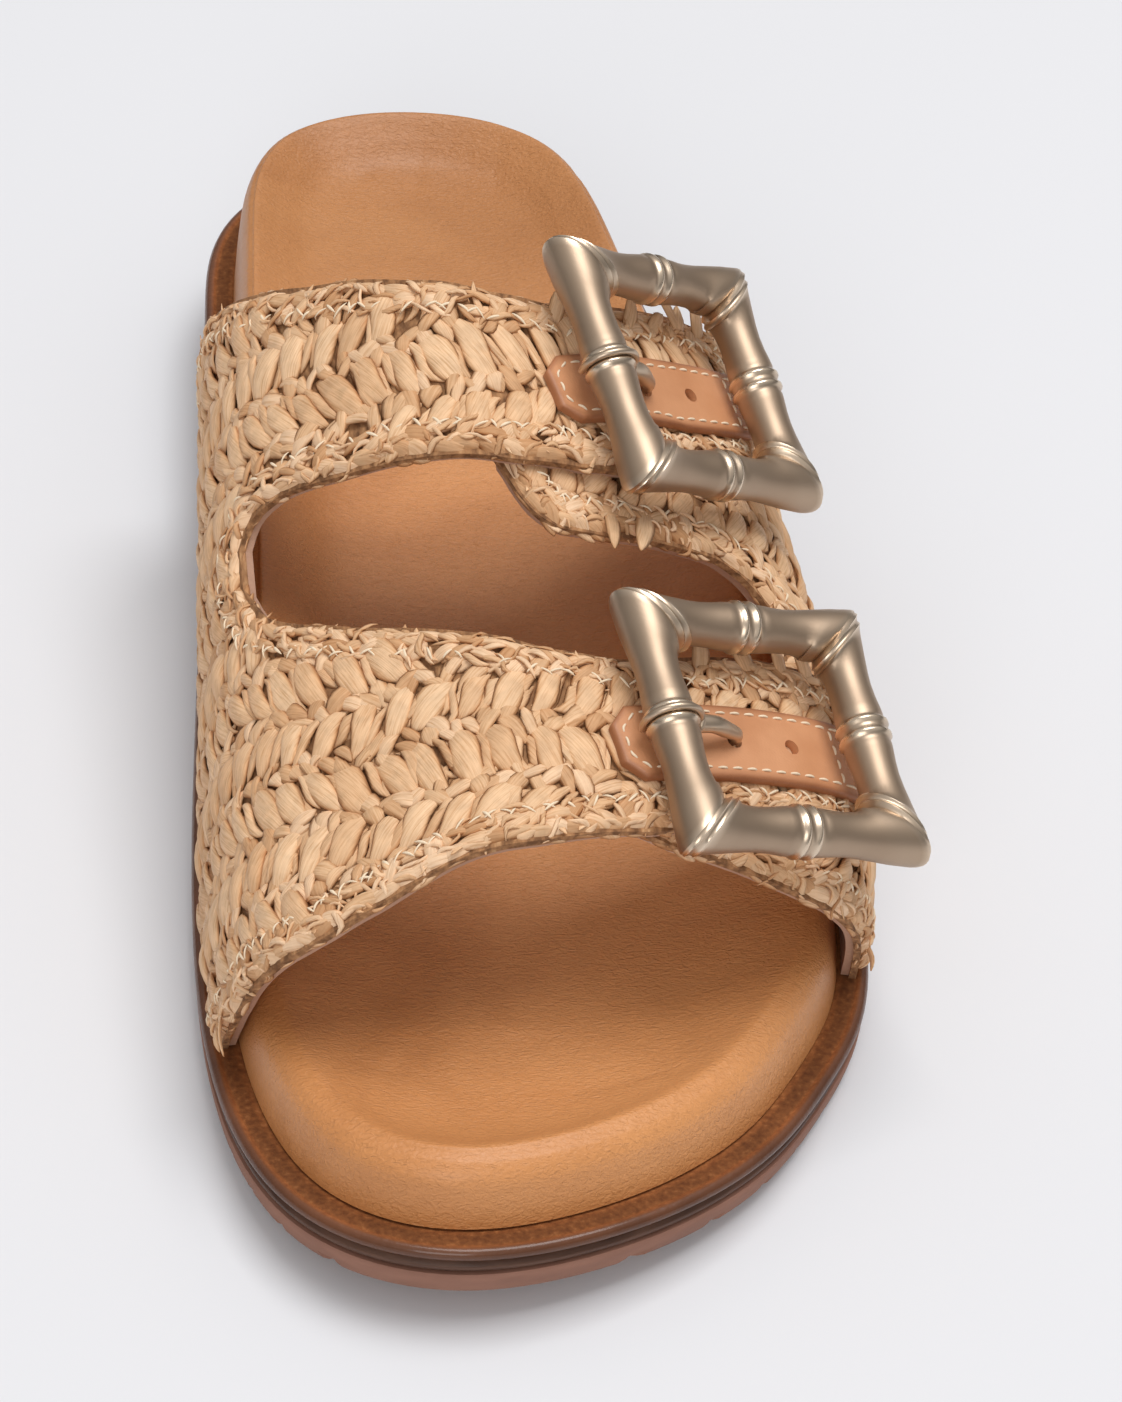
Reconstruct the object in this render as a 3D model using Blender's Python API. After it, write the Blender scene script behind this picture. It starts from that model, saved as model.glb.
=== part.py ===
"""Two-strap slide sandal: raffia upper, leather footbed, welted rubber sole and bamboo-form buckles.

One left shoe of about EU 38, in metres. The toe points to -Y, the heel to +Y and the wearer's outer
side to +X. The origin is on the floor, on a lug of the tread under the middle of the sole.
"""
import math

import bmesh
import bpy
import numpy as np
from mathutils import Matrix

MM = 0.001

# Sole sizes
LENGTH = 250 * MM
BALL_WIDTH = 100 * MM
HEEL_WIDTH = 76 * MM
BALL_CENTRE = 2 * MM
HEEL_CENTRE = -8 * MM
TOE_SPRING = 6 * MM
OUTSOLE_THICKNESS = 4.2 * MM
MIDSOLE_AT_TOE = 2.1 * MM
MIDSOLE_AT_HEEL = 12.6 * MM
WELT_THICKNESS = 2.1 * MM
WELT_GROOVE = 1.3 * MM
FOOTBED_RISE = 20 * MM
RIM_LEAN_AT_TOE = 5 * MM
RIM_LEAN_AT_HEEL = 3 * MM
LUG_PITCH = 7.6 * MM
LUG_GROOVE = 2 * MM
LUG_DEPTH = 1.5 * MM
GROOVE_OVERRUN = 6 * MM

# How far in from the sole's outline the faces of its side lie, outward where negative
OUTSOLE_FOOT_INSET = 1.2 * MM
OUTSOLE_SIDE_INSET = 0.4 * MM
MIDSOLE_FOOT_INSET = 0.5 * MM
MIDSOLE_SIDE_INSET = 0.2 * MM
WELT_FOOT_INSET = 0.5 * MM
WELT_RIM_INSET = -0.3 * MM
WELT_TOP_INSET = 0.7 * MM

# Where the toe spring starts and how far it reaches, in shares of LENGTH
SPRING_START = -0.26
SPRING_REACH = 0.24

# Upper sizes
STRAP_RISE = 60 * MM
WALL = 3.2 * MM
STRIP_RISE = 0.7 * MM
STRIP_PITCH = 3.6 * MM
STRIP_SLANT = 0.8 * STRIP_PITCH
UPPER_MARGIN = 0.8 * MM
FIT_GAP = 0.3 * MM
LAP_GAP = 0.4 * MM

# Share of the way round where the straps start to rise over the quarter, and the share they rise in
LAP_START = 0.33
LAP_REACH = 0.145

# Buckle and tab sizes
BUCKLE_LENGTH = 33.2 * MM
BUCKLE_WIDTH = 34.2 * MM
BAR_RADIUS = 3.65 * MM
TAB_LENGTH = 41 * MM
TAB_WIDTH = 12.4 * MM
TAB_THICKNESS = 1.4 * MM
FRONT_TAB_OVERHANG = 5.8 * MM
REAR_TAB_OVERHANG = 4.5 * MM
HOLE_DIAMETER = 2.4 * MM
HOLE_SPACING = 9.8 * MM
PRONG_REACH = 13 * MM
PRONG_WIRE = 2.2 * MM
HOOK_WIRE = 1.0 * MM

# How finely the curved faces are divided
RING_POINTS = 64
BAR_SIDES = 10
INNER_STEP = 3

# Sole outline from the toe tip round the inner side: across (half widths) and along (lengths)
OUTLINE = [
    (-0.28, -0.500),
    (-0.54, -0.486),
    (-0.74, -0.452),
    (-0.88, -0.398),
    (-0.97, -0.320),
    (-1.006, -0.220),
    (-1.008, -0.100),
    (-1.002, 0.060),
    (-1.005, 0.200),
    (-1.000, 0.340),
    (-0.953, 0.412),
    (-0.79, 0.460),
    (-0.50, 0.489),
    (-0.03, 0.500),
    (0.37, 0.488),
    (0.67, 0.458),
    (0.87, 0.404),
    (0.982, 0.336),
    (1.12, 0.200),
    (1.085, 0.060),
    (1.01, -0.100),
    (1.005, -0.220),
    (0.946, -0.302),
    (0.82, -0.354),
    (0.65, -0.406),
    (0.40, -0.452),
    (0.08, -0.486),
]

# Footbed heights above the welt, in shares of FOOTBED_RISE, at shares of LENGTH
FOOTBED = {
    "along": (-0.50, -0.24, -0.05, 0.04, 0.20, 0.36, 0.50),
    "inner_rim": (0.50, 0.50, 1.02, 1.00, 0.82, 0.80, 0.86),
    "outer_rim": (0.50, 0.48, 0.70, 0.72, 0.72, 0.78, 0.86),
    "middle": (0.33, 0.41, 0.52, 0.53, 0.52, 0.49, 0.50),
}

# Footbed rim: how far in (shares of its lean) and how high (shares of its rise) each ring lies
RIM_RINGS = [(0.0, 0.0), (0.16, 0.42), (0.36, 0.76), (0.72, 0.96), (1.15, 1.0)]

# Footbed dish: how far out from the middle each ring lies, and its share of the rim's height
DISH_RINGS = [(0.86, 0.66), (0.68, 0.26), (0.40, 0.06), (0.12, 0.0)]

# The dish closes on a line that stops short of the toe and the heel by these shares of the widths
DISH_STOP_AT_TOE = 0.36
DISH_STOP_AT_HEEL = 0.38

# Cross-sections of the upper at shares of LENGTH. Rises are shares of STRAP_RISE for the crown and of
# the crown for the rest. Places across are shares of the half width, from the middle or the edge in.
UPPER_SECTIONS = {
    "along": (-0.40, -0.30, -0.16, 0.00, 0.12, 0.24),
    "crown_rise": (0.64, 0.72, 0.83, 0.965, 1.10, 1.20),
    "crown_across": (-0.20, -0.20, -0.18, -0.16, -0.15, -0.15),
    "inner_in": (0.13, 0.13, 0.13, 0.11, 0.11, 0.11),
    "inner_up": (0.62, 0.63, 0.65, 0.67, 0.68, 0.68),
    "flank_in": (0.42, 0.41, 0.41, 0.47, 0.50, 0.50),
    "flank_up": (0.78, 0.79, 0.79, 0.735, 0.735, 0.75),
    "side_in": (0.06, 0.05, 0.03, 0.06, 0.09, 0.10),
    "side_up": (0.46, 0.46, 0.45, 0.44, 0.43, 0.42),
}

# Edges of the strap piece in shares of LENGTH, by the share of the way round from its inner base.
# The window between the straps opens at STRAP_SPLIT.
STRAP_SPLIT = 0.218
STRAP_ENDS = {"front": 0.822, "rear": 0.788}
STRAP_EDGES = [
    {"round": 0.000, "toe": -0.326, "window_toe": -0.088, "window_heel": -0.048, "heel": 0.184},
    {"round": 0.050, "toe": -0.340, "window_toe": -0.086, "window_heel": -0.050, "heel": 0.182},
    {"round": 0.100, "toe": -0.351, "window_toe": -0.084, "window_heel": -0.052, "heel": 0.177},
    {"round": 0.150, "toe": -0.357, "window_toe": -0.082, "window_heel": -0.054, "heel": 0.169},
    {"round": 0.190, "toe": -0.361, "window_toe": -0.080, "window_heel": -0.057, "heel": 0.160},
    {"round": 0.218, "toe": -0.363, "window_toe": -0.081, "window_heel": -0.056, "heel": 0.146},
    {"round": 0.228, "toe": -0.364, "window_toe": -0.101, "window_heel": -0.046, "heel": 0.140},
    {"round": 0.245, "toe": -0.365, "window_toe": -0.121, "window_heel": -0.042, "heel": 0.132},
    {"round": 0.280, "toe": -0.365, "window_toe": -0.140, "window_heel": -0.043, "heel": 0.114},
    {"round": 0.340, "toe": -0.358, "window_toe": -0.161, "window_heel": -0.053, "heel": 0.087},
    {"round": 0.430, "toe": -0.344, "window_toe": -0.186, "window_heel": -0.064, "heel": 0.057},
    {"round": 0.500, "toe": -0.336, "window_toe": -0.201, "window_heel": -0.069, "heel": 0.046},
    {"round": 0.565, "toe": -0.324, "window_toe": -0.203, "window_heel": -0.065, "heel": 0.049},
    {"round": 0.610, "toe": -0.317, "window_toe": -0.194, "window_heel": -0.056, "heel": 0.066},
    {"round": 0.700, "toe": -0.293, "window_toe": -0.170, "window_heel": -0.022, "heel": 0.099},
    {"round": 0.800, "toe": -0.271, "window_toe": -0.151, "window_heel": 0.010, "heel": 0.127},
]

# Edges of the quarter in the same way, from its outer base up to the ends of its two tabs.
QUARTER_SPLIT = 0.776
QUARTER_ENDS = {"front": 0.560, "rear": 0.487}
QUARTER_EDGES = [
    {"round": 1.000, "toe": -0.270, "window_toe": -0.150, "window_heel": -0.122, "heel": 0.160},
    {"round": 0.960, "toe": -0.280, "window_toe": -0.145, "window_heel": -0.118, "heel": 0.156},
    {"round": 0.866, "toe": -0.302, "window_toe": -0.134, "window_heel": -0.112, "heel": 0.144},
    {"round": 0.800, "toe": -0.310, "window_toe": -0.126, "window_heel": -0.107, "heel": 0.126},
    {"round": 0.776, "toe": -0.311, "window_toe": -0.124, "window_heel": -0.104, "heel": 0.119},
    {"round": 0.764, "toe": -0.312, "window_toe": -0.138, "window_heel": -0.092, "heel": 0.115},
    {"round": 0.745, "toe": -0.312, "window_toe": -0.152, "window_heel": -0.080, "heel": 0.108},
    {"round": 0.715, "toe": -0.312, "window_toe": -0.166, "window_heel": -0.075, "heel": 0.097},
    {"round": 0.640, "toe": -0.313, "window_toe": -0.188, "window_heel": -0.088, "heel": 0.068},
    {"round": 0.585, "toe": -0.307, "window_toe": -0.200, "window_heel": -0.099, "heel": 0.046},
    {"round": 0.540, "toe": -0.296, "window_toe": -0.212, "window_heel": -0.103, "heel": 0.034},
    {"round": 0.515, "toe": -0.290, "window_toe": -0.218, "window_heel": -0.094, "heel": 0.026},
    {"round": 0.500, "toe": -0.290, "window_toe": -0.218, "window_heel": -0.078, "heel": 0.012},
    {"round": 0.487, "toe": -0.290, "window_toe": -0.218, "window_heel": -0.055, "heel": -0.012},
]

# Raffia rows across each part of a piece, toe side, below the window and heel side
STRAP_ROWS = (8, 2, 6)
QUARTER_ROWS = (6, 2, 7)

# Where each buckle sits: share of the way round and share of LENGTH. In degrees, the turn of its
# strap, and how far its frame leans outward and tips toward the toe from the strap's own slope.
BUCKLES = {
    "front": {"round": 0.692, "along": -0.242, "turn": 18.0, "lean": -3.0, "tip": 1.0,
              "overhang": FRONT_TAB_OVERHANG},
    "rear": {"round": 0.660, "along": 0.018, "turn": 27.0, "lean": 2.0, "tip": 4.0,
             "overhang": REAR_TAB_OVERHANG},
}

# One bar of a buckle from corner to corner: share of its length, radius in shares of BAR_RADIUS
NODE_SWELL = 1.12
BAR_PROFILE = [
    (0.00, 1.16),
    (0.09, 1.20),
    (0.125, 1.08),
    (0.16, 1.14),
    (0.30, 0.98),
    (0.435, 0.97),
    (0.455, NODE_SWELL),
    (0.50, 1.00),
    (0.545, NODE_SWELL),
    (0.565, 0.97),
    (0.70, 0.98),
    (0.84, 1.14),
    (0.875, 1.08),
    (0.91, 1.20),
]
NODE_RADIUS = NODE_SWELL * BAR_RADIUS


def smooth_step(share):
    """Ease from 0 to 1 as share goes from 0 to 1."""
    share = np.clip(share, 0.0, 1.0)
    return share * share * (3.0 - 2.0 * share)


def second_derivatives(points, closed):
    """Second derivatives of a cubic spline through points, natural at its ends or closed."""
    count = len(points)
    gaps = np.linalg.norm(np.roll(points, -1, axis=0) - points, axis=1)
    matrix = np.eye(count)
    right = np.zeros_like(points)
    for here in range(count):
        if not closed and here in (0, count - 1):
            continue
        after = (here + 1) % count
        before = gaps[here - 1]
        ahead = gaps[here]
        matrix[here, here - 1] = before
        matrix[here, here] = 2.0 * (before + ahead)
        matrix[here, after] = ahead
        rise_ahead = (points[after] - points[here]) / ahead
        rise_before = (points[here] - points[here - 1]) / before
        right[here] = 6.0 * (rise_ahead - rise_before)
    return gaps, np.linalg.solve(matrix, right)


def spline_between(points, gaps, bends, start, share):
    """Point on the spline's piece that begins at start, at a share of that piece."""
    end = (start + 1) % len(points)
    left = 1.0 - share
    curve = (left ** 3 - left) * bends[start] + (share ** 3 - share) * bends[end]
    return left * points[start] + share * points[end] + curve * gaps[start] ** 2 / 6.0


def open_spline_at(points, share):
    """Point at a share of the chord length of a natural spline."""
    gaps, bends = second_derivatives(points, closed=False)
    marks = np.concatenate([[0.0], np.cumsum(gaps[:-1])])
    place = min(max(share, 0.0), 1.0) * marks[-1]
    start = min(int(np.searchsorted(marks, place, side="right")) - 1, len(points) - 2)
    return spline_between(points, gaps, bends, start, (place - marks[start]) / gaps[start])


def closed_spline(points, count):
    """Evenly spaced points round a closed spline, starting at its first point."""
    gaps, bends = second_derivatives(points, closed=True)
    fine = []
    for start in range(len(points)):
        for share in np.linspace(0.0, 1.0, 16, endpoint=False):
            fine.append(spline_between(points, gaps, bends, start, share))
    fine.append(points[0])
    fine = np.array(fine)
    marks = np.concatenate([[0.0], np.cumsum(np.linalg.norm(np.diff(fine, axis=0), axis=1))])
    places = np.linspace(0.0, marks[-1], count, endpoint=False)
    return np.column_stack([np.interp(places, marks, fine[:, axis]) for axis in (0, 1)])


def to_heel(along):
    """0 at the ball of the foot and 1 at the heel, for a place along the shoe."""
    return smooth_step((along / LENGTH + 0.2) / 0.5)


def make_outline():
    """Sole outline seen from above, as evenly spaced points."""
    points = []
    for across, along_share in OUTLINE:
        along = along_share * LENGTH
        share = to_heel(along)
        centre = BALL_CENTRE + (HEEL_CENTRE - BALL_CENTRE) * share
        width = BALL_WIDTH + (HEEL_WIDTH - BALL_WIDTH) * share
        points.append((centre + across * width / 2.0, along))
    return closed_spline(np.array(points), RING_POINTS)


SOLE_OUTLINE = make_outline()


def inset_outline(distance):
    """Sole outline moved inward by a distance, or outward where it is negative."""
    tangents = np.roll(SOLE_OUTLINE, -1, axis=0) - np.roll(SOLE_OUTLINE, 1, axis=0)
    tangents /= np.linalg.norm(tangents, axis=1)[:, None]
    inward = np.column_stack([-tangents[:, 1], tangents[:, 0]])
    if np.dot(inward[0], SOLE_OUTLINE.mean(axis=0) - SOLE_OUTLINE[0]) < 0.0:
        inward = -inward
    return SOLE_OUTLINE + inward * distance


def sole_sides(along):
    """Inner and outer edge of the sole, across the shoe, at a place along it."""
    heel_end = int(np.argmax(SOLE_OUTLINE[:, 1]))
    inner = SOLE_OUTLINE[: heel_end + 1]
    outer = np.vstack([SOLE_OUTLINE[heel_end:], SOLE_OUTLINE[:1]])[::-1]
    return np.interp(along, inner[:, 1], inner[:, 0]), np.interp(along, outer[:, 1], outer[:, 0])


def ground_height(along):
    """Height of the tread's underside: flat under heel and ball, then the toe spring."""
    past_ball = np.clip((SPRING_START - along / LENGTH) / SPRING_REACH, 0.0, None)
    return TOE_SPRING * past_ball ** 2


def outsole_top(along):
    return ground_height(along) + OUTSOLE_THICKNESS


def midsole_top(along):
    thickness = MIDSOLE_AT_TOE + (MIDSOLE_AT_HEEL - MIDSOLE_AT_TOE) * smooth_step((along / LENGTH + 0.24) / 0.6)
    return outsole_top(along) + FIT_GAP + thickness


def welt_top(along):
    return midsole_top(along) + FIT_GAP + WELT_THICKNESS


def seat_height(along):
    """Height at which the footbed and the upper stand on the welt."""
    return welt_top(along) + FIT_GAP


def ring_at(inset, height_at):
    """Ring of points at an inset from the sole's outline, at a height that depends on the place."""
    ring = inset_outline(inset)
    heights = [height_at(along) for along in ring[:, 1]]
    return np.column_stack([ring, heights])


def ladder_faces(offset, count, upward):
    """Faces that close a ring with quads across the shoe, from toe to heel."""
    faces = []
    for step in range(count // 2):
        left = (step, step + 1)
        right = ((count - step) % count, count - step - 1)
        corners = [left[0], left[1], right[1], right[0]]
        corners = list(dict.fromkeys(corner + offset for corner in corners))
        if len(corners) > 2:
            faces.append(corners if upward else corners[::-1])
    return faces


def loft_rings(rings):
    """Closed mesh data through a stack of rings, with ladder caps below and above."""
    count = len(rings[0])
    faces = []
    for level in range(len(rings) - 1):
        for point in range(count):
            after = (point + 1) % count
            low = level * count
            high = low + count
            faces.append((low + point, high + point, high + after, low + after))
    faces += ladder_faces(0, count, upward=True)
    faces += ladder_faces((len(rings) - 1) * count, count, upward=False)
    return np.vstack(rings), faces


def make_collection(name, hidden=False):
    collection = bpy.data.collections.new(name)
    bpy.context.scene.collection.children.link(collection)
    collection.hide_render = hidden
    return collection


def make_material(name, color, roughness, metallic=0.0):
    material = bpy.data.materials.new(name)
    material.use_nodes = True
    shader = material.node_tree.nodes["Principled BSDF"]
    shader.inputs["Base Color"].default_value = (*color, 1.0)
    shader.inputs["Roughness"].default_value = roughness
    shader.inputs["Metallic"].default_value = metallic
    material.diffuse_color = (*color, 1.0)
    return material


def add_object(name, vertices, faces, collection, material=None, sharp=math.radians(40)):
    """Mesh object whose faces all point out, shaded smooth between its sharp edges."""
    mesh = bpy.data.meshes.new(name)
    mesh.from_pydata([tuple(vertex) for vertex in vertices], [], faces)
    work = bmesh.new()
    work.from_mesh(mesh)
    bmesh.ops.recalc_face_normals(work, faces=work.faces)
    if work.calc_volume(signed=True) < 0.0:
        bmesh.ops.reverse_faces(work, faces=work.faces)
    work.to_mesh(mesh)
    work.free()
    mesh.shade_smooth()
    mesh.set_sharp_from_angle(angle=sharp)
    if material is not None:
        mesh.materials.append(material)
    thing = bpy.data.objects.new(name, mesh)
    collection.objects.link(thing)
    return thing


def hide_cutter(cutter):
    cutter.hide_render = True
    cutter.display_type = "WIRE"


def cut_from(target, cutter, name):
    """Cut one object from another with an exact Boolean modifier."""
    hide_cutter(cutter)
    modifier = target.modifiers.new(name, "BOOLEAN")
    modifier.operation = "DIFFERENCE"
    modifier.solver = "EXACT"
    modifier.object = cutter


def make_lug_cutter(collection):
    """Bars that cut the cross grooves of the tread, with a lug at the origin between two of them."""
    work = bmesh.new()
    count = int(LENGTH / 2.0 / LUG_PITCH + 0.5)
    for number in range(-count, count):
        along = (number + 0.5) * LUG_PITCH
        inner, outer = sole_sides(along)
        slope = (ground_height(along + MM) - ground_height(along - MM)) / (2.0 * MM)
        width = outer - inner + 2.0 * GROOVE_OVERRUN
        place = Matrix.Translation(((inner + outer) / 2.0, along, ground_height(along)))
        turn = Matrix.Rotation(math.atan(slope), 4, "X")
        size = Matrix.Diagonal((width, LUG_GROOVE, 2.0 * LUG_DEPTH, 1.0))
        bmesh.ops.create_cube(work, size=1.0, matrix=place @ turn @ size)
    mesh = bpy.data.meshes.new("lug_cutter")
    work.to_mesh(mesh)
    work.free()
    cutter = bpy.data.objects.new("lug_cutter", mesh)
    collection.objects.link(cutter)
    return cutter


def make_outsole(parts, cutters):
    """Rubber outsole with a slightly drawn-in lower edge and cross grooves."""
    material = make_material("outsole_rubber", (0.33, 0.17, 0.12), 0.6)
    rings = [
        ring_at(OUTSOLE_FOOT_INSET, ground_height),
        ring_at(OUTSOLE_SIDE_INSET, lambda along: ground_height(along) + 0.25 * OUTSOLE_THICKNESS),
        ring_at(0.0, outsole_top),
    ]
    outsole = add_object("outsole", *loft_rings(rings), parts, material)
    cut_from(outsole, make_lug_cutter(cutters), "tread")


def make_midsole(parts):
    """Midsole band, thin at the toe and thick under the heel, with a groove below the welt."""
    material = make_material("midsole_board", (0.11, 0.055, 0.03), 0.6)

    def waist(along):
        return midsole_top(along) - 0.4 * MIDSOLE_AT_TOE

    rings = [
        ring_at(MIDSOLE_FOOT_INSET, lambda along: outsole_top(along) + FIT_GAP),
        ring_at(MIDSOLE_SIDE_INSET, waist),
        ring_at(WELT_GROOVE, midsole_top),
    ]
    add_object("midsole", *loft_rings(rings), parts, material)


def make_welt(parts):
    """Leather welt, a full layer whose rounded rim shows all round the footbed."""
    material = make_material("welt_leather", (0.16, 0.065, 0.03), 0.45)

    def level(share):
        return lambda along: midsole_top(along) + FIT_GAP + share * WELT_THICKNESS

    rings = [
        ring_at(WELT_FOOT_INSET, level(0.0)),
        ring_at(WELT_RIM_INSET, level(0.4)),
        ring_at(0.0, level(0.8)),
        ring_at(WELT_TOP_INSET, level(1.0)),
    ]
    add_object("welt", *loft_rings(rings), parts, material)


def footbed_value(column, along):
    return np.interp(along / LENGTH, FOOTBED["along"], FOOTBED[column]) * FOOTBED_RISE


def make_footbed(parts):
    """Contoured footbed: a rim that leans in and rolls over, and a dish inside it."""
    material = make_material("footbed_leather", (0.56, 0.27, 0.11), 0.5)
    base_inset = UPPER_MARGIN + WALL + 2.0 * FIT_GAP
    base = inset_outline(base_inset)
    toe_tip = base[:, 1].min()
    heel_tip = base[:, 1].max()
    rim_rises = []
    for across, along in base:
        inner, outer = sole_sides(along)
        share = smooth_step((across - inner) / (outer - inner))
        low = footbed_value("inner_rim", along)
        rim_rises.append(low + (footbed_value("outer_rim", along) - low) * share)
    rim_rises = np.array(rim_rises)
    seats = seat_height(base[:, 1])
    rings = []
    full_leans = RIM_LEAN_AT_TOE + (RIM_LEAN_AT_HEEL - RIM_LEAN_AT_TOE) * to_heel(base[:, 1])
    for lean, height in RIM_RINGS:
        ring = inset_outline((base_inset + lean * full_leans)[:, None])
        rings.append(np.column_stack([ring, seats + height * rim_rises]))
    crest = rings[-1]
    spine_start = toe_tip + DISH_STOP_AT_TOE * BALL_WIDTH
    spine_end = heel_tip - DISH_STOP_AT_HEEL * HEEL_WIDTH
    spine_along = np.clip(crest[:, 1], spine_start, spine_end)
    spine_across = np.array([np.mean(sole_sides(along)) for along in spine_along])
    middles = np.array([footbed_value("middle", along) for along in crest[:, 1]])
    for out, share in DISH_RINGS:
        across = spine_across + (crest[:, 0] - spine_across) * out
        along = spine_along + (crest[:, 1] - spine_along) * out
        heights = seat_height(along) + middles + (rim_rises - middles) * share
        rings.append(np.column_stack([across, along, heights]))
    add_object("footbed", *loft_rings(rings), parts, material)


def upper_section(along):
    """Points of the upper's outer face across the shoe, from its inner base to its outer base."""
    row = {key: np.interp(along / LENGTH, UPPER_SECTIONS["along"], values)
           for key, values in UPPER_SECTIONS.items()}
    inner, outer = sole_sides(along)
    inner += UPPER_MARGIN
    outer -= UPPER_MARGIN
    half = (outer - inner) / 2.0
    base = seat_height(along)
    rise = row["crown_rise"] * STRAP_RISE
    return np.array([
        (inner, base),
        (inner + row["inner_in"] * half, base + row["inner_up"] * rise),
        ((inner + outer) / 2.0 + row["crown_across"] * half, base + rise),
        (outer - row["flank_in"] * half, base + row["flank_up"] * rise),
        (outer - row["side_in"] * half, base + row["side_up"] * rise),
        (outer, base),
    ])


def upper_surface(share, along):
    """Point on the upper's outer face: share of the way round, and place along the shoe."""
    across, height = open_spline_at(upper_section(along), share)
    return np.array([across, along, height])


def upper_slopes(share, along):
    """Change of the outer face's point per share round and per metre along."""
    low = max(share - 0.002, 0.0)
    high = min(share + 0.002, 1.0)
    per_share = (upper_surface(high, along) - upper_surface(low, along)) / (high - low)
    per_metre = (upper_surface(share, along + 0.2 * MM) - upper_surface(share, along - 0.2 * MM)) / (0.4 * MM)
    return per_share, per_metre


def upper_point(share, along, lift):
    """Point at a height above the upper's outer face."""
    per_share, per_metre = upper_slopes(share, along)
    normal = np.cross(per_share, per_metre)
    return upper_surface(share, along) + normal / np.linalg.norm(normal) * lift


def strap_lift(share):
    """How far a strap stands out where it laps over the quarter."""
    return (WALL + LAP_GAP) * float(smooth_step((share - LAP_START) / LAP_REACH))


def no_lift(share):
    return 0.0


def edge_at(edges, name, share):
    """Place along the shoe of a named edge, on a smooth line through its table."""
    rows = sorted(edges, key=lambda row: row["round"])
    rounds = [row["round"] for row in rows]
    places = [row[name] for row in rows]
    nearby = [np.interp(share + step, rounds, places) for step in (-0.008, 0.0, 0.008)]
    return (0.25 * nearby[0] + 0.5 * nearby[1] + 0.25 * nearby[2]) * LENGTH


def row_place(edges, rows, column, share):
    """Place along the shoe of a row line of the weave, counted from the toe edge."""
    front, middle, rear = rows
    names = ("toe", "window_toe", "window_heel", "heel")
    starts = (0, front, front + middle, front + middle + rear)
    for part in range(3):
        if column <= starts[part + 1]:
            ratio = (column - starts[part]) / (starts[part + 1] - starts[part])
            low = edge_at(edges, names[part], share)
            high = edge_at(edges, names[part + 1], share)
            return low + (high - low) * ratio
    return edge_at(edges, "heel", share)


def strap_length_per_share():
    """Length of the upper's girth over the ball, which the strips are counted along."""
    points = np.array([upper_surface(share, -0.2 * LENGTH) for share in np.linspace(0.0, 1.0, 40)])
    return np.linalg.norm(np.diff(points, axis=0), axis=1).sum()


def even_steps(start, end):
    """Number of half strips between two shares, in whole steps of the inner face."""
    length = abs(end - start) * strap_length_per_share()
    return max(1, round(length / (STRIP_PITCH / 2.0) / INNER_STEP)) * INNER_STEP


def make_woven_wall(name, start, split, ends, edges, rows, lift_at, parts, material):
    """Wall with raised slanting strips outside, a plain inside, and two tongues past a split.

    Steps count round the shoe from the base and columns count across it from the toe edge. The
    strips lean one way in odd rows and the other way in even rows.
    """
    front, middle, rear = rows
    columns = front + middle + rear
    far_end = max(ends.values(), key=lambda end: abs(end - split))
    split_step = even_steps(start, split)
    steps = split_step + even_steps(split, far_end)
    slant = STRIP_SLANT / strap_length_per_share() * (1.0 if split > start else -1.0)

    def in_window(column):
        return front < column < front + middle

    def share_at(step, column):
        if step <= split_step:
            share = start + (split - start) * step / split_step
        else:
            end = ends["front"] if column <= front else ends["rear"]
            share = split + (end - split) * (step - split_step) / (steps - split_step)
        fade = min(1.0, step / 3.0, (steps - step) / 3.0)
        inside = 0 < column < columns and not front <= column <= front + middle
        return share + (slant * fade if inside and column % 2 else 0.0)

    def on_rim(step, column):
        if step in (0, steps) or column in (0, columns):
            return True
        return step >= split_step and front <= column <= front + middle

    vertices = []
    outer = {}
    inner = {}
    for step in range(steps + 1):
        for column in range(columns + 1):
            if in_window(column) and step > split_step:
                continue
            share = share_at(step, column)
            along = row_place(edges, rows, column, share)
            raised = 0.0 if on_rim(step, column) or step % 2 else STRIP_RISE
            outer[step, column] = len(vertices)
            point = upper_point(share, along, lift_at(share) - STRIP_RISE + raised)
            if step == 0:
                point[2] = seat_height(point[1])
            vertices.append(point)
            if step % INNER_STEP == 0:
                inner[step, column] = len(vertices)
                point = upper_point(share, along, lift_at(share) - WALL)
                if step == 0:
                    point[2] = seat_height(point[1])
                vertices.append(point)

    def is_open(step, column):
        return step >= split_step and front <= column < front + middle

    faces = []
    for step in range(steps):
        for column in range(columns):
            if not is_open(step, column):
                faces.append((outer[step, column], outer[step + 1, column],
                              outer[step + 1, column + 1], outer[step, column + 1]))
    for step in range(0, steps, INNER_STEP):
        after = step + INNER_STEP
        for column in range(columns):
            if not is_open(step, column):
                faces.append((inner[step, column], inner[step, column + 1],
                              inner[after, column + 1], inner[after, column]))
        side_columns = [0, columns] + ([front, front + middle] if step >= split_step else [])
        for column in side_columns:
            for number in range(INNER_STEP):
                near = inner[step, column] if number < INNER_STEP - 1 else inner[after, column]
                faces.append((outer[step + number, column], outer[step + number + 1, column], near))
            last = step + INNER_STEP - 1
            faces.append((outer[last, column], inner[after, column], inner[step, column]))
    for step in (0, split_step, steps):
        for column in range(columns):
            opened = front <= column < front + middle
            if step == 0 or (step == split_step and opened) or (step == steps and not opened):
                faces.append((outer[step, column], outer[step, column + 1],
                              inner[step, column + 1], inner[step, column]))
    return add_object(name, vertices, faces, parts, material, sharp=math.radians(60))


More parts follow.
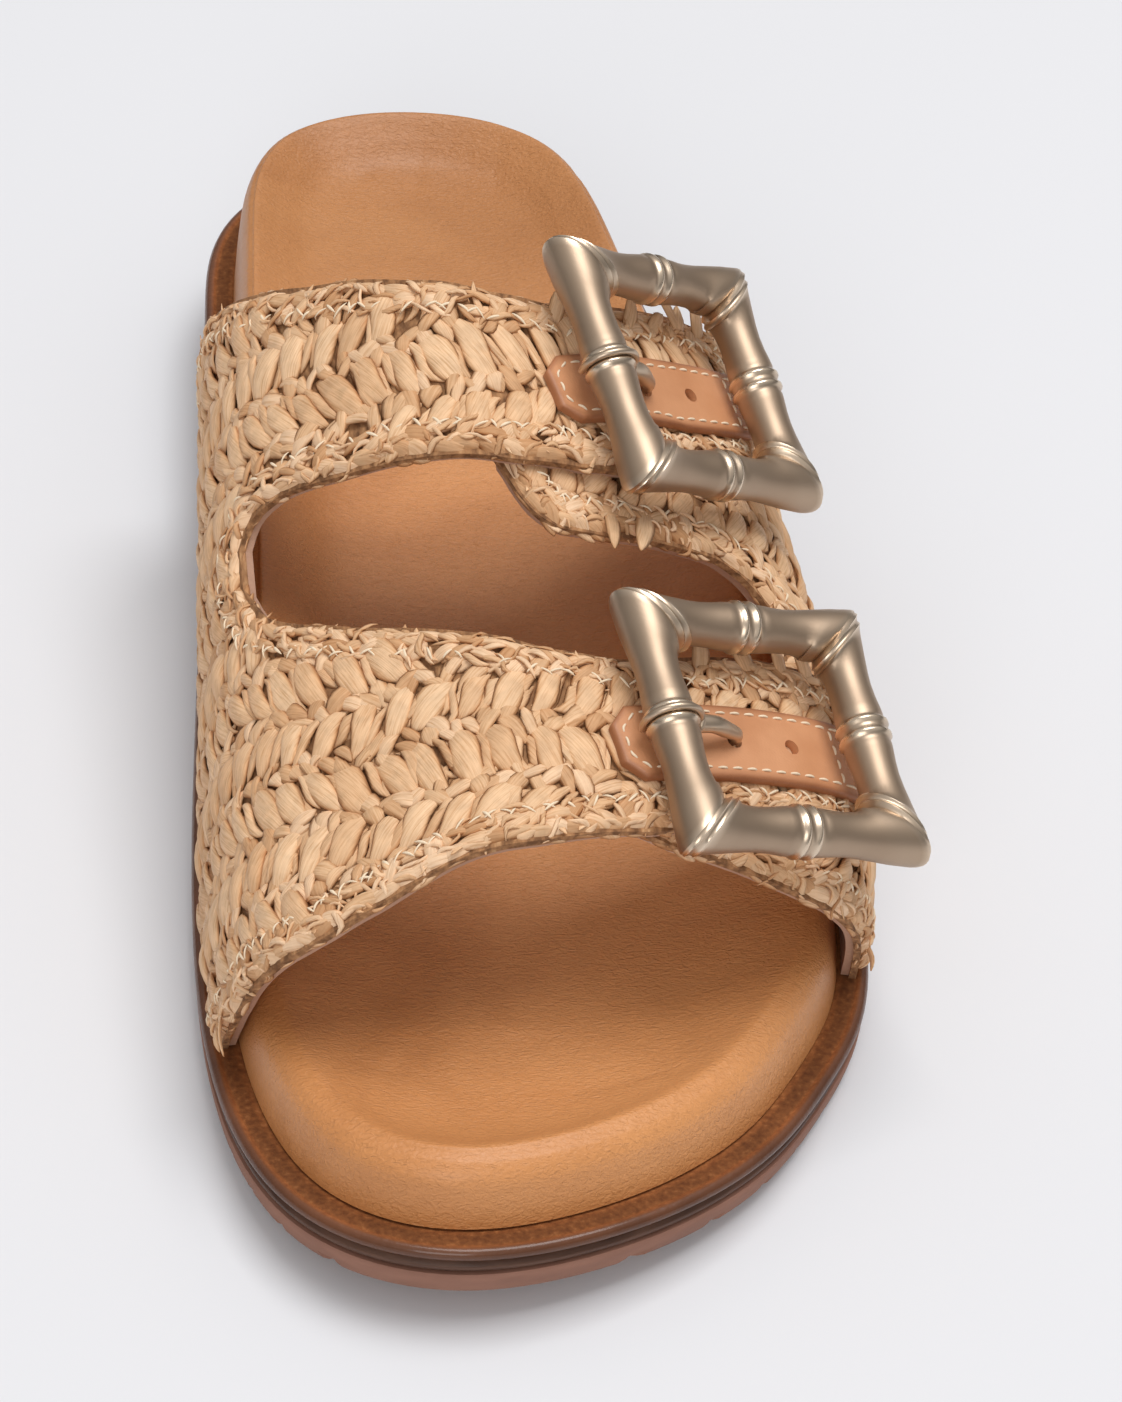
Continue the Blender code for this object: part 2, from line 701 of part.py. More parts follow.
def make_upper(parts):
    """Strap piece from the inner side, and the quarter on the outer side that it laps over."""
    strap_raffia = make_material("strap_raffia", (0.70, 0.46, 0.25), 0.75)
    quarter_raffia = make_material("quarter_raffia", (0.68, 0.44, 0.23), 0.75)
    make_woven_wall("upper_medial", 0.0, STRAP_SPLIT, STRAP_ENDS, STRAP_EDGES, STRAP_ROWS,
                    strap_lift, parts, strap_raffia)
    make_woven_wall("upper_lateral", 1.0, QUARTER_SPLIT, QUARTER_ENDS, QUARTER_EDGES, QUARTER_ROWS,
                    no_lift, parts, quarter_raffia)


def strap_place(seat, forward, aside):
    """Share round and place along, a distance along a strap and aside from a buckle's middle."""
    share = seat["round"]
    along = seat["along"] * LENGTH
    per_share, per_metre = upper_slopes(share, along)
    across_axis = per_share / np.linalg.norm(per_share)
    normal = np.cross(per_share, per_metre)
    normal /= np.linalg.norm(normal)
    heel_axis = np.cross(normal, across_axis)
    turn = math.radians(seat["turn"])
    strap_axis = math.cos(turn) * across_axis + math.sin(turn) * heel_axis
    side_axis = math.cos(turn) * heel_axis - math.sin(turn) * across_axis
    wanted = forward * strap_axis + aside * side_axis
    steps = np.linalg.lstsq(np.column_stack([per_share, per_metre]), wanted, rcond=None)[0]
    return share + steps[0], along + steps[1]


def strap_point(seat, forward, aside, lift):
    """Point above a strap's outer face, at a distance along and aside from a buckle's middle."""
    share, along = strap_place(seat, forward, aside)
    return upper_point(share, along, strap_lift(share) + lift)


def buckle_axes(seat):
    """Middle and axes of a buckle's frame, which lies on the strap as a flat square."""
    ends = [strap_point(seat, side * BUCKLE_LENGTH / 2.0, 0.0, 0.0) for side in (-1, 1)]
    flanks = [strap_point(seat, 0.0, side * BUCKLE_WIDTH / 2.0, 0.0) for side in (-1, 1)]
    strap_axis = ends[1] - ends[0]
    strap_axis /= np.linalg.norm(strap_axis)
    normal = np.cross(strap_axis, flanks[1] - flanks[0])
    normal /= np.linalg.norm(normal)
    side_axis = np.cross(normal, strap_axis)
    outward = math.tan(math.radians(seat["lean"])) * strap_axis
    toeward = -math.tan(math.radians(seat["tip"])) * side_axis
    normal = (normal + outward + toeward) / np.linalg.norm(normal + outward + toeward)
    side_axis = np.cross(normal, strap_axis)
    side_axis /= np.linalg.norm(side_axis)
    strap_axis = np.cross(side_axis, normal)
    top = strap_point(seat, 0.0, 0.0, 0.0)
    inner_bar = strap_point(seat, -BUCKLE_LENGTH / 2.0, 0.0, FIT_GAP + TAB_THICKNESS)
    under = [inner_bar, ends[1]] + flanks
    ride = max(float(np.dot(point - top, normal)) for point in under)
    middle = top + normal * (ride + NODE_RADIUS + FIT_GAP)
    return middle, strap_axis, side_axis, normal


def make_buckle(name, seat, parts, material):
    """Square frame of four bamboo-form bars with ringed nodes, mitred at the corners."""
    middle, strap_axis, side_axis, normal = buckle_axes(seat)
    corners = [(-0.5, 0.5), (0.5, 0.5), (0.5, -0.5), (-0.5, -0.5)]
    vertices = []
    for number, corner in enumerate(corners):
        after = corners[(number + 1) % 4]
        start = middle + corner[0] * BUCKLE_LENGTH * strap_axis + corner[1] * BUCKLE_WIDTH * side_axis
        end = middle + after[0] * BUCKLE_LENGTH * strap_axis + after[1] * BUCKLE_WIDTH * side_axis
        outward = (corner[0] + after[0]) * strap_axis + (corner[1] + after[1]) * side_axis
        diagonal = 2.0 * corner[0] * strap_axis + 2.0 * corner[1] * side_axis
        for share, radius in BAR_PROFILE:
            centre = start + (end - start) * share
            aside = diagonal if share == 0.0 else outward
            for side in range(BAR_SIDES):
                angle = 2.0 * math.pi * side / BAR_SIDES
                reach = radius * BAR_RADIUS * (math.cos(angle) * aside + math.sin(angle) * normal)
                vertices.append(centre + reach)
    sections = len(corners) * len(BAR_PROFILE)
    faces = []
    for section in range(sections):
        after = (section + 1) % sections
        for side in range(BAR_SIDES):
            beside = (side + 1) % BAR_SIDES
            faces.append((section * BAR_SIDES + side, after * BAR_SIDES + side,
                          after * BAR_SIDES + beside, section * BAR_SIDES + beside))
    return add_object(name, vertices, faces, parts, material, sharp=math.radians(50))


def hole_places():
    """Distances along the strap of the tab's holes, the first under the prong's point."""
    first = -BUCKLE_LENGTH / 2.0 + PRONG_REACH
    return [first, first + HOLE_SPACING]


def make_tab(name, seat, parts, cutters, material):
    """Leather tab along the middle of a strap, with a chamfered end and two punched holes."""
    start = -BUCKLE_LENGTH / 2.0 - seat["overhang"]
    chamfer = 0.24 * TAB_WIDTH
    places = [start, start + chamfer]
    while places[-1] < start + TAB_LENGTH - 1.0 * MM:
        left = start + TAB_LENGTH - places[-1]
        places.append(places[-1] + left / max(1, round(left / (3.6 * MM))))
    across = (-0.5, -0.25, 0.0, 0.25, 0.5)
    vertices = []
    for forward in places:
        width = TAB_WIDTH - (2.0 * chamfer if forward == start else 0.0)
        for share in across:
            for level in (FIT_GAP, FIT_GAP + TAB_THICKNESS):
                vertices.append(strap_point(seat, forward, share * width, level))
    line = 2 * len(across)
    faces = []
    for row in range(len(places) - 1):
        here = row * line
        for column in range(len(across) - 1):
            low = here + 2 * column
            faces.append((low, low + 2, low + 2 + line, low + line))
            faces.append((low + 1, low + 1 + line, low + 3 + line, low + 3))
        for column in (0, line - 2):
            faces.append((here + column, here + column + line, here + column + line + 1, here + column + 1))
    for here in (0, (len(places) - 1) * line):
        for column in range(len(across) - 1):
            low = here + 2 * column
            faces.append((low, low + 1, low + 3, low + 2))
    tab = add_object(name, vertices, faces, parts, material)
    for number, forward in enumerate(hole_places()):
        cutter = make_hole_cutter(name + "_hole_" + str(number + 1), seat, forward, cutters)
        cut_from(tab, cutter, "hole_" + str(number + 1))
    return tab


def make_hole_cutter(name, seat, forward, cutters):
    """Cylinder square to the tab at one of its holes."""
    low = strap_point(seat, forward, 0.0, FIT_GAP - TAB_THICKNESS)
    high = strap_point(seat, forward, 0.0, FIT_GAP + 2.0 * TAB_THICKNESS)
    up = (high - low) / np.linalg.norm(high - low)
    aside = np.cross(up, buckle_axes(seat)[1])
    aside /= np.linalg.norm(aside)
    frame = Matrix.Identity(4)
    for row in range(3):
        frame[row][0] = np.cross(aside, up)[row]
        frame[row][1] = aside[row]
        frame[row][2] = up[row]
        frame[row][3] = (low[row] + high[row]) / 2.0
    work = bmesh.new()
    bmesh.ops.create_cone(work, cap_ends=True, segments=12, radius1=HOLE_DIAMETER / 2.0,
                          radius2=HOLE_DIAMETER / 2.0, depth=3.0 * TAB_THICKNESS, matrix=frame)
    mesh = bpy.data.meshes.new(name)
    work.to_mesh(mesh)
    work.free()
    cutter = bpy.data.objects.new(name, mesh)
    cutters.objects.link(cutter)
    return cutter


def make_prong(name, seat, parts, cutters, material):
    """Prong: a hook over the inner bar's node, and a tapered finger that ends in the first hole."""
    middle, strap_axis, side_axis, normal = buckle_axes(seat)
    bar = middle - strap_axis * BUCKLE_LENGTH / 2.0
    hook_radius = 1.04 * BAR_RADIUS + FIT_GAP + HOOK_WIRE / 2.0
    hook = []
    for degrees in range(-24, 217, 20):
        angle = math.radians(degrees)
        hook.append(bar + hook_radius * (math.cos(angle) * strap_axis + math.sin(angle) * normal))
    hook_object = make_tube(name + "_hook", hook, [HOOK_WIRE / 2.0] * len(hook), side_axis, cutters)
    tip = strap_point(seat, hole_places()[0], 0.0, FIT_GAP + 0.5 * TAB_THICKNESS)
    over = strap_point(seat, hole_places()[0], 0.0, FIT_GAP + TAB_THICKNESS + 0.5 * PRONG_WIRE)
    root = hook[0] + (hook[1] - hook[0]) * 0.3
    route = [root, over * 0.6 + root * 0.4 + normal * 0.3 * PRONG_WIRE, over, tip]
    widths = [share * PRONG_WIRE / 2.0 for share in (1.0, 0.95, 0.8, 0.45)]
    finger = make_tube(name, route, widths, side_axis, parts)
    finger.data.materials.append(material)
    join = finger.modifiers.new("hook", "BOOLEAN")
    join.operation = "UNION"
    join.solver = "EXACT"
    join.object = hook_object
    hide_cutter(hook_object)
    return finger


def make_tube(name, route, radii, side_axis, collection, sides=8):
    """Round tube with flat ends along a route that bends in one plane, square to side_axis."""
    vertices = []
    count = len(route)
    for number, point in enumerate(route):
        direction = route[min(number + 1, count - 1)] - route[max(number - 1, 0)]
        direction = direction / np.linalg.norm(direction)
        up = np.cross(direction, side_axis)
        for side in range(sides):
            angle = 2.0 * math.pi * side / sides
            vertices.append(point + radii[number] * (math.cos(angle) * side_axis + math.sin(angle) * up))
    faces = []
    for section in range(count - 1):
        low = section * sides
        for side in range(sides):
            beside = (side + 1) % sides
            faces.append((low + side, low + sides + side, low + sides + beside, low + beside))
    faces.append(tuple(range(sides)))
    faces.append(tuple(range((count - 1) * sides, count * sides)))
    return add_object(name, vertices, faces, collection)


def main():
    for thing in list(bpy.data.objects):
        bpy.data.objects.remove(thing)
    parts = make_collection("slide_sandal")
    cutters = make_collection("cutters", hidden=True)
    make_outsole(parts, cutters)
    make_midsole(parts)
    make_welt(parts)
    make_footbed(parts)
    make_upper(parts)
    for place, seat in BUCKLES.items():
        leather = make_material("tab_leather_" + place, (0.56, 0.29, 0.15), 0.55)
        gold = make_material("buckle_metal_" + place, (0.62, 0.54, 0.40), 0.3, 1.0)
        prong_gold = make_material("prong_metal_" + place, (0.60, 0.52, 0.38), 0.3, 1.0)
        make_tab("tab_" + place, seat, parts, cutters, leather)
        make_buckle("buckle_" + place, seat, parts, gold)
        make_prong("prong_" + place, seat, parts, cutters, prong_gold)


main()
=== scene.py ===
import math

import bmesh
import bpy
import numpy as np
from mathutils import Euler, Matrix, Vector


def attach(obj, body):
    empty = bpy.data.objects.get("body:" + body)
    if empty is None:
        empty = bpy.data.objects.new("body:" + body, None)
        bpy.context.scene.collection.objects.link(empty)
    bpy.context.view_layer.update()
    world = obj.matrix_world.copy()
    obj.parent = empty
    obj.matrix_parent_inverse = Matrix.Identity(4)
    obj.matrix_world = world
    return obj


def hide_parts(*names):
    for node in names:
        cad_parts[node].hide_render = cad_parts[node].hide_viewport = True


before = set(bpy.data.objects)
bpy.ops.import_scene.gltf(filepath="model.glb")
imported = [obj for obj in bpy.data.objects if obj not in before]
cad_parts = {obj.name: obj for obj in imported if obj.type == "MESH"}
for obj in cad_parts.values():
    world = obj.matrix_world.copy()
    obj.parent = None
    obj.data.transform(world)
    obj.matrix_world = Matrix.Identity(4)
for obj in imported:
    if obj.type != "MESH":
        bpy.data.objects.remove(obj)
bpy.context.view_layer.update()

MM = 0.001
RANDOM = np.random.default_rng(38)


def table(columns, *rows):
    """Rows of values by the names of their columns."""
    names = columns.split()
    return [dict(zip(names, row)) for row in rows]


# Sole sizes
LENGTH = 250 * MM
BALL_WIDTH = 100 * MM
HEEL_WIDTH = 76 * MM
BALL_CENTRE = 2 * MM
HEEL_CENTRE = -8 * MM
TOE_SPRING = 6 * MM
OUTSOLE_THICKNESS = 4.2 * MM
MIDSOLE_AT_TOE = 2.1 * MM
MIDSOLE_AT_HEEL = 12.6 * MM
WELT_THICKNESS = 2.1 * MM
WELT_GROOVE = 1.3 * MM
FOOTBED_RISE = 20 * MM
RIM_LEAN_AT_TOE = 5 * MM
RIM_LEAN_AT_HEEL = 3 * MM
LUG_PITCH = 7.6 * MM
LUG_GROOVE = 2 * MM
LUG_DEPTH = 1.5 * MM

# Upper sizes
STRAP_RISE = 60 * MM
WALL = 3.2 * MM
LINING = 1.2 * MM
GROUND_DEPTH = 0.9 * MM
UPPER_MARGIN = 0.8 * MM
FIT_GAP = 0.3 * MM
LAP_GAP = 0.4 * MM

# Buckle and tab sizes
BUCKLE_LENGTH = 33.2 * MM
BUCKLE_WIDTH = 34.2 * MM
BAR_RADIUS = 3.65 * MM
NODE_RADIUS = 1.12 * BAR_RADIUS
TAB_LENGTH = 41 * MM
TAB_WIDTH = 12.4 * MM
TAB_THICKNESS = 1.4 * MM
FRONT_TAB_OVERHANG = 5.8 * MM
REAR_TAB_OVERHANG = 4.5 * MM
HOLE_DIAMETER = 2.4 * MM
HOLE_SPACING = 9.8 * MM
PRONG_REACH = 13 * MM
PRONG_WIRE = 2.4 * MM

# How finely the curved faces are divided
OUTLINE_POINTS = 256
SURFACE_STEPS = 220

# Sole outline from the toe tip round the inner side: across (half widths) and along (lengths)
OUTLINE = [
    (-0.28, -0.500), (-0.54, -0.486), (-0.74, -0.452), (-0.88, -0.398), (-0.97, -0.320),
    (-1.006, -0.220), (-1.008, -0.100), (-1.002, 0.060), (-1.005, 0.200), (-1.000, 0.340),
    (-0.953, 0.412), (-0.79, 0.460), (-0.50, 0.489), (-0.03, 0.500), (0.37, 0.488),
    (0.67, 0.458), (0.87, 0.404), (0.982, 0.336), (1.12, 0.200), (1.085, 0.060),
    (1.01, -0.100), (1.005, -0.220), (0.946, -0.302), (0.82, -0.354), (0.65, -0.406),
    (0.40, -0.452), (0.08, -0.486),
]

# Footbed heights above the welt, in shares of FOOTBED_RISE, at shares of LENGTH
FOOTBED = {
    "along": (-0.50, -0.24, -0.05, 0.04, 0.20, 0.36, 0.50),
    "inner_rim": (0.50, 0.50, 1.02, 1.00, 0.82, 0.80, 0.86),
    "outer_rim": (0.50, 0.48, 0.70, 0.72, 0.72, 0.78, 0.86),
    "middle": (0.33, 0.41, 0.52, 0.53, 0.52, 0.49, 0.50),
}
RIM_RINGS = [(0.0, 0.0), (0.16, 0.42), (0.36, 0.75), (0.68, 0.93), (1.00, 0.985), (1.32, 1.0)]
DISH_RINGS = [(0.86, 0.66), (0.68, 0.26), (0.40, 0.06), (0.12, 0.0)]

# Soft creases of the footbed: start and end as shares of BALL_WIDTH across and LENGTH along,
# width and depth in millimetres, raised where the depth is negative.
CREASES = table(
    "start end width depth",
    ((-0.30, -0.372), (-0.10, -0.392), 2.2, 0.22),
    ((0.05, -0.398), (0.26, -0.380), 2.0, 0.18),
    ((-0.22, -0.345), (0.12, -0.352), 3.4, -0.16),
    ((-0.33, -0.255), (-0.12, -0.272), 2.6, 0.18),
    ((0.18, -0.262), (0.38, -0.240), 2.6, 0.20),
    ((-0.20, -0.140), (0.16, -0.128), 3.6, 0.16),
    ((-0.24, 0.385), (-0.16, 0.440), 2.0, 0.22),
    ((-0.10, 0.405), (-0.08, 0.455), 1.8, 0.20),
    ((0.04, 0.400), (0.06, 0.452), 2.2, 0.18),
    ((0.15, 0.375), (0.21, 0.428), 2.0, 0.20),
)

# Cross-sections of the upper at shares of LENGTH. Rises are shares of STRAP_RISE for the crown and of
# the crown for the rest. Places across are shares of the half width, from the middle or the edge in.
UPPER_SECTIONS = {
    "along": (-0.40, -0.30, -0.16, 0.00, 0.12, 0.24),
    "crown_rise": (0.64, 0.72, 0.83, 0.965, 1.10, 1.20),
    "crown_across": (-0.20, -0.20, -0.18, -0.16, -0.15, -0.15),
    "inner_in": (0.13, 0.13, 0.13, 0.11, 0.11, 0.11),
    "inner_up": (0.62, 0.63, 0.65, 0.67, 0.68, 0.68),
    "flank_in": (0.42, 0.41, 0.41, 0.47, 0.50, 0.50),
    "flank_up": (0.78, 0.79, 0.79, 0.735, 0.735, 0.75),
    "side_in": (0.06, 0.05, 0.03, 0.06, 0.09, 0.10),
    "side_up": (0.46, 0.46, 0.45, 0.44, 0.43, 0.42),
}

# Edges of the strap piece in shares of LENGTH, by the share of the way round from its inner base
STRAP_EDGES = table(
    "round toe window_toe window_heel heel",
    (0.000, -0.326, -0.088, -0.048, 0.184),
    (0.050, -0.340, -0.086, -0.050, 0.182),
    (0.100, -0.351, -0.084, -0.052, 0.177),
    (0.150, -0.357, -0.082, -0.054, 0.169),
    (0.190, -0.361, -0.080, -0.057, 0.160),
    (0.218, -0.363, -0.081, -0.056, 0.146),
    (0.228, -0.364, -0.101, -0.046, 0.140),
    (0.245, -0.365, -0.121, -0.042, 0.132),
    (0.280, -0.365, -0.140, -0.043, 0.114),
    (0.340, -0.358, -0.161, -0.053, 0.087),
    (0.430, -0.344, -0.186, -0.064, 0.057),
    (0.500, -0.336, -0.201, -0.069, 0.046),
    (0.565, -0.324, -0.203, -0.065, 0.049),
    (0.610, -0.317, -0.194, -0.056, 0.066),
    (0.700, -0.293, -0.170, -0.022, 0.099),
    (0.800, -0.271, -0.151, 0.010, 0.127),
)

# Edges of the quarter in the same way, from its outer base up to the ends of its two tabs
QUARTER_EDGES = table(
    "round toe window_toe window_heel heel",
    (1.000, -0.270, -0.150, -0.122, 0.160),
    (0.960, -0.280, -0.145, -0.118, 0.156),
    (0.866, -0.302, -0.134, -0.112, 0.144),
    (0.800, -0.310, -0.126, -0.107, 0.126),
    (0.776, -0.311, -0.124, -0.104, 0.119),
    (0.764, -0.312, -0.138, -0.092, 0.115),
    (0.745, -0.312, -0.152, -0.080, 0.108),
    (0.715, -0.312, -0.166, -0.075, 0.097),
    (0.640, -0.313, -0.188, -0.088, 0.068),
    (0.585, -0.307, -0.200, -0.099, 0.046),
    (0.540, -0.296, -0.212, -0.103, 0.034),
    (0.515, -0.290, -0.218, -0.094, 0.026),
    (0.500, -0.290, -0.218, -0.078, 0.012),
    (0.487, -0.290, -0.218, -0.055, -0.012),
)

STRAP = {"name": "strap", "node": "upper_medial", "edges": STRAP_EDGES, "base": 0.0, "split": 0.218,
         "front_end": 0.822, "rear_end": 0.788}
QUARTER = {"name": "quarter", "node": "upper_lateral", "edges": QUARTER_EDGES, "base": 1.0, "split": 0.776,
           "front_end": 0.560, "rear_end": 0.487}

# Middle lines of a row of leaves, in shares of LENGTH by the share of the way round. Rows are counted
# from the line towards the heel, and the leaves of row 0 rise to the outer side or fall to it.
ROW_GUIDES = [
    {"piece": STRAP, "name": "front_strap", "rows": (-6, 5), "rises": True,
     "round": (0.0, 0.10, 0.19, 0.26, 0.32, 0.44, 0.55, 0.65, 0.75, 0.85),
     "along": (-0.185, -0.198, -0.211, -0.223, -0.232, -0.234, -0.231, -0.222, -0.204, -0.186)},
    {"piece": STRAP, "name": "rear_strap", "rows": (-4, 5), "rises": False,
     "round": (0.0, 0.10, 0.22, 0.285, 0.35, 0.40, 0.464, 0.51, 0.542, 0.62, 0.70, 0.80),
     "along": (0.045, 0.032, 0.020, 0.008, -0.003, -0.003, 0.002, 0.006, 0.015, 0.036, 0.060, 0.090)},
    {"piece": QUARTER, "name": "quarter", "rows": (-5, 8), "rises": True,
     "round": (0.48, 0.64, 0.776, 1.0),
     "along": (-0.150, -0.135, -0.115, -0.130)},
]
# Where the rows of the front strap end and those of the rear strap begin, as a share of LENGTH
STRAPS_PART = -0.068
ROW_PITCH = 10.1 * MM
LEAF_PITCH = 5.3 * MM
BAND_WIDTH = 5.6 * MM
EDGE_ROUND = 1.6 * MM
EDGE_DROP = 1.5 * MM
RIM_STEP = 0.5 * MM
# Share of the zigzag thread's stitches that don't show
MISSED_STITCHES = 0.22

# Broad leaves, in millimetres, and the slant of each kind of row in degrees from the outer side
# towards the heel
RISING_LEAF = {"length": 10.0, "slant": 55.0}
FALLING_LEAF = {"length": 11.8, "slant": -59.0}
LEAF_WIDTH = 4.2
LEAF_THICKNESS = 0.62
LEAF_ARCH = 1.0
# Narrow leaves beside and under the broad ones: shift along the row in shares of LEAF_PITCH, height of
# the ends above the wall in millimetres, and the brightest tint
NARROW_LEAVES = table("shift lift brightest", (0.5, -0.85, 0.8), (0.25, -1.2, 0.6), (0.75, -1.2, 0.6))
# Range of the numbers that give each leaf a grain of its own
SEEDS = (0.0, 6.3)

# Loose ends, listed one by one: where each starts (share of the way round, share of LENGTH), its length and
# width in millimetres, its direction in degrees from the outer side towards the heel, and how far its tip
# stands up in millimetres.
LOOSE_ENDS = {
    "strap": table(
        "round along length width turn rise",
        (0.640, 0.058, 7.0, 3.4, 82.0, 1.8),
        (0.668, 0.066, 6.5, 3.0, 62.0, 1.2),
        (0.722, 0.082, 11.0, 3.2, 146.0, 2.4),
        (0.738, 0.092, 8.5, 3.2, 98.0, 2.0),
        (0.700, 0.080, 7.0, 3.0, 76.0, 1.2),
        (0.557, 0.034, 6.5, 3.0, 74.0, 1.4),
        (0.745, 0.018, 7.5, 2.6, 104.0, 2.0),
        (0.770, 0.024, 8.5, 3.2, 110.0, 1.6),
        (0.645, -0.198, 6.0, 3.0, 96.0, 1.4),
        (0.700, -0.184, 7.0, 4.0, 136.0, 1.6),
        (0.735, -0.176, 6.0, 3.4, 112.0, 1.2),
        (0.764, -0.168, 5.5, 3.0, 126.0, 1.4),
        (0.788, -0.160, 6.5, 2.2, 94.0, 1.6),
        (0.727, -0.276, 17.0, 1.7, 17.0, 1.2),
        (0.800, -0.187, 13.0, 2.1, -73.0, 0.6),
        (0.812, -0.172, 13.0, 1.8, -79.0, 0.6),
        (0.060, -0.330, 7.0, 2.4, -112.0, 0.9),
        (0.034, -0.324, 5.5, 1.8, -96.0, 0.8),
    ),
    "quarter": table(
        "round along length width turn rise",
        (0.596, -0.078, 9.0, 3.0, -100.0, 1.2),
        (0.640, -0.066, 11.5, 3.8, -112.0, 1.4),
        (0.950, -0.272, 4.0, 1.3, -62.0, 1.4),
        (0.925, -0.278, 3.5, 0.9, -104.0, 1.0),
    ),
}

# Where each buckle sits: share of the way round and share of LENGTH. In degrees, the turn of its
# strap, and how far its frame leans outward and tips toward the toe from the strap's own slope.
BUCKLES = {
    "front": {"round": 0.692, "along": -0.242, "turn": 18.0, "lean": -3.0, "tip": 1.0,
              "overhang": FRONT_TAB_OVERHANG},
    "rear": {"round": 0.660, "along": 0.018, "turn": 27.0, "lean": 2.0, "tip": 4.0,
             "overhang": REAR_TAB_OVERHANG},
}

# The photograph's camera: place in metres and slope below the horizon. The picture's size in pixels
# and the share of it that the one shoe fills.
PHOTO_CAMERA = (-0.0500, -0.5226, 0.4729)
PHOTO_PITCH = 42.5
PICTURE_SIZE = (1122, 1402)
FILLED = 0.84
SENSOR = 36.0


def smooth_step(share):
    """Ease from 0 to 1 as share goes from 0 to 1."""
    share = np.clip(share, 0.0, 1.0)
    return share * share * (3.0 - 2.0 * share)


def unit(vector):
    return vector / np.linalg.norm(vector)


# Forms shared with the solids

def line_marks(points):
    """Distances of points from the first one, along the line through them."""
    return np.concatenate([[0.0], np.cumsum(np.linalg.norm(np.diff(points, axis=0), axis=1))])


def line_points(points, marks, places):
    """Flat points at places along a line whose own points are marked so."""
    return np.column_stack([np.interp(places, marks, points[:, axis]) for axis in (0, 1)])


def second_derivatives(points, closed):
    """Second derivatives of a cubic spline through points, natural at its ends or closed."""
    count = len(points)
    gaps = np.linalg.norm(np.roll(points, -1, axis=0) - points, axis=1)
    matrix = np.eye(count)
    right = np.zeros_like(points)
    for here in range(count):
        if not closed and here in (0, count - 1):
            continue
        after = (here + 1) % count
        before = gaps[here - 1]
        ahead = gaps[here]
        matrix[here, here - 1] = before
        matrix[here, here] = 2.0 * (before + ahead)
        matrix[here, after] = ahead
        rise_ahead = (points[after] - points[here]) / ahead
        rise_before = (points[here] - points[here - 1]) / before
        right[here] = 6.0 * (rise_ahead - rise_before)
    return gaps, np.linalg.solve(matrix, right)


def spline_points(points, closed, shares):
    """Points at shares of the chord length of a cubic spline, natural at its ends or closed."""
    gaps, bends = second_derivatives(points, closed)
    pieces = len(points) if closed else len(points) - 1
    marks = np.concatenate([[0.0], np.cumsum(gaps[:pieces])])
    places = np.clip(shares, 0.0, 1.0) * marks[-1]
    start = np.clip(np.searchsorted(marks, places, side="right") - 1, 0, pieces - 1)
    end = (start + 1) % len(points)
    share = ((places - marks[start]) / gaps[start])[:, None]
    left = 1.0 - share
    curve = (left ** 3 - left) * bends[start] + (share ** 3 - share) * bends[end]
    return left * points[start] + share * points[end] + curve * gaps[start][:, None] ** 2 / 6.0


def to_heel(along):
    """0 at the ball of the foot and 1 at the heel, for a place along the shoe."""
    return smooth_step((along / LENGTH + 0.2) / 0.5)


def make_outline():
    """Sole outline seen from above, as evenly spaced points from the toe tip round the inner side."""
    marked = np.array(OUTLINE)
    along = marked[:, 1] * LENGTH
    share = to_heel(along)
    centre = BALL_CENTRE + (HEEL_CENTRE - BALL_CENTRE) * share
    width = BALL_WIDTH + (HEEL_WIDTH - BALL_WIDTH) * share
    points = np.column_stack([centre + marked[:, 0] * width / 2.0, along])
    fine = spline_points(points, True, np.linspace(0.0, 1.0, 2000))
    marks = line_marks(fine)
    return line_points(fine, marks, np.linspace(0.0, marks[-1], OUTLINE_POINTS, endpoint=False))


SOLE_OUTLINE = make_outline()


def inset_outline(distance):
    """Sole outline moved inward by a distance, or outward where it is negative."""
    tangents = np.roll(SOLE_OUTLINE, -1, axis=0) - np.roll(SOLE_OUTLINE, 1, axis=0)
    tangents /= np.linalg.norm(tangents, axis=1)[:, None]
    inward = np.column_stack([-tangents[:, 1], tangents[:, 0]])
    if np.dot(inward[0], SOLE_OUTLINE.mean(axis=0) - SOLE_OUTLINE[0]) < 0.0:
        inward = -inward
    return SOLE_OUTLINE + inward * distance


def sole_sides(along):
    """Inner and outer edge of the sole, across the shoe, at places along it."""
    heel_end = int(np.argmax(SOLE_OUTLINE[:, 1]))
    inner = SOLE_OUTLINE[: heel_end + 1]
    outer = np.vstack([SOLE_OUTLINE[heel_end:], SOLE_OUTLINE[:1]])[::-1]
    return np.interp(along, inner[:, 1], inner[:, 0]), np.interp(along, outer[:, 1], outer[:, 0])


def ground_height(along):
    """Height of the tread's underside: flat under heel and ball, then the toe spring."""
    past_ball = np.clip((-0.26 - along / LENGTH) / 0.24, 0.0, None)
    return TOE_SPRING * past_ball ** 2


def outsole_top(along):
    return ground_height(along) + OUTSOLE_THICKNESS


def midsole_top(along):
    swell = smooth_step((along / LENGTH + 0.24) / 0.6)
    return outsole_top(along) + FIT_GAP + MIDSOLE_AT_TOE + (MIDSOLE_AT_HEEL - MIDSOLE_AT_TOE) * swell


def welt_top(along):
    return midsole_top(along) + FIT_GAP + WELT_THICKNESS


def seat_height(along):
    """Height at which the footbed and the upper stand on the welt."""
    return welt_top(along) + FIT_GAP


def footbed_value(column, along):
    return np.interp(along / LENGTH, FOOTBED["along"], FOOTBED[column]) * FOOTBED_RISE


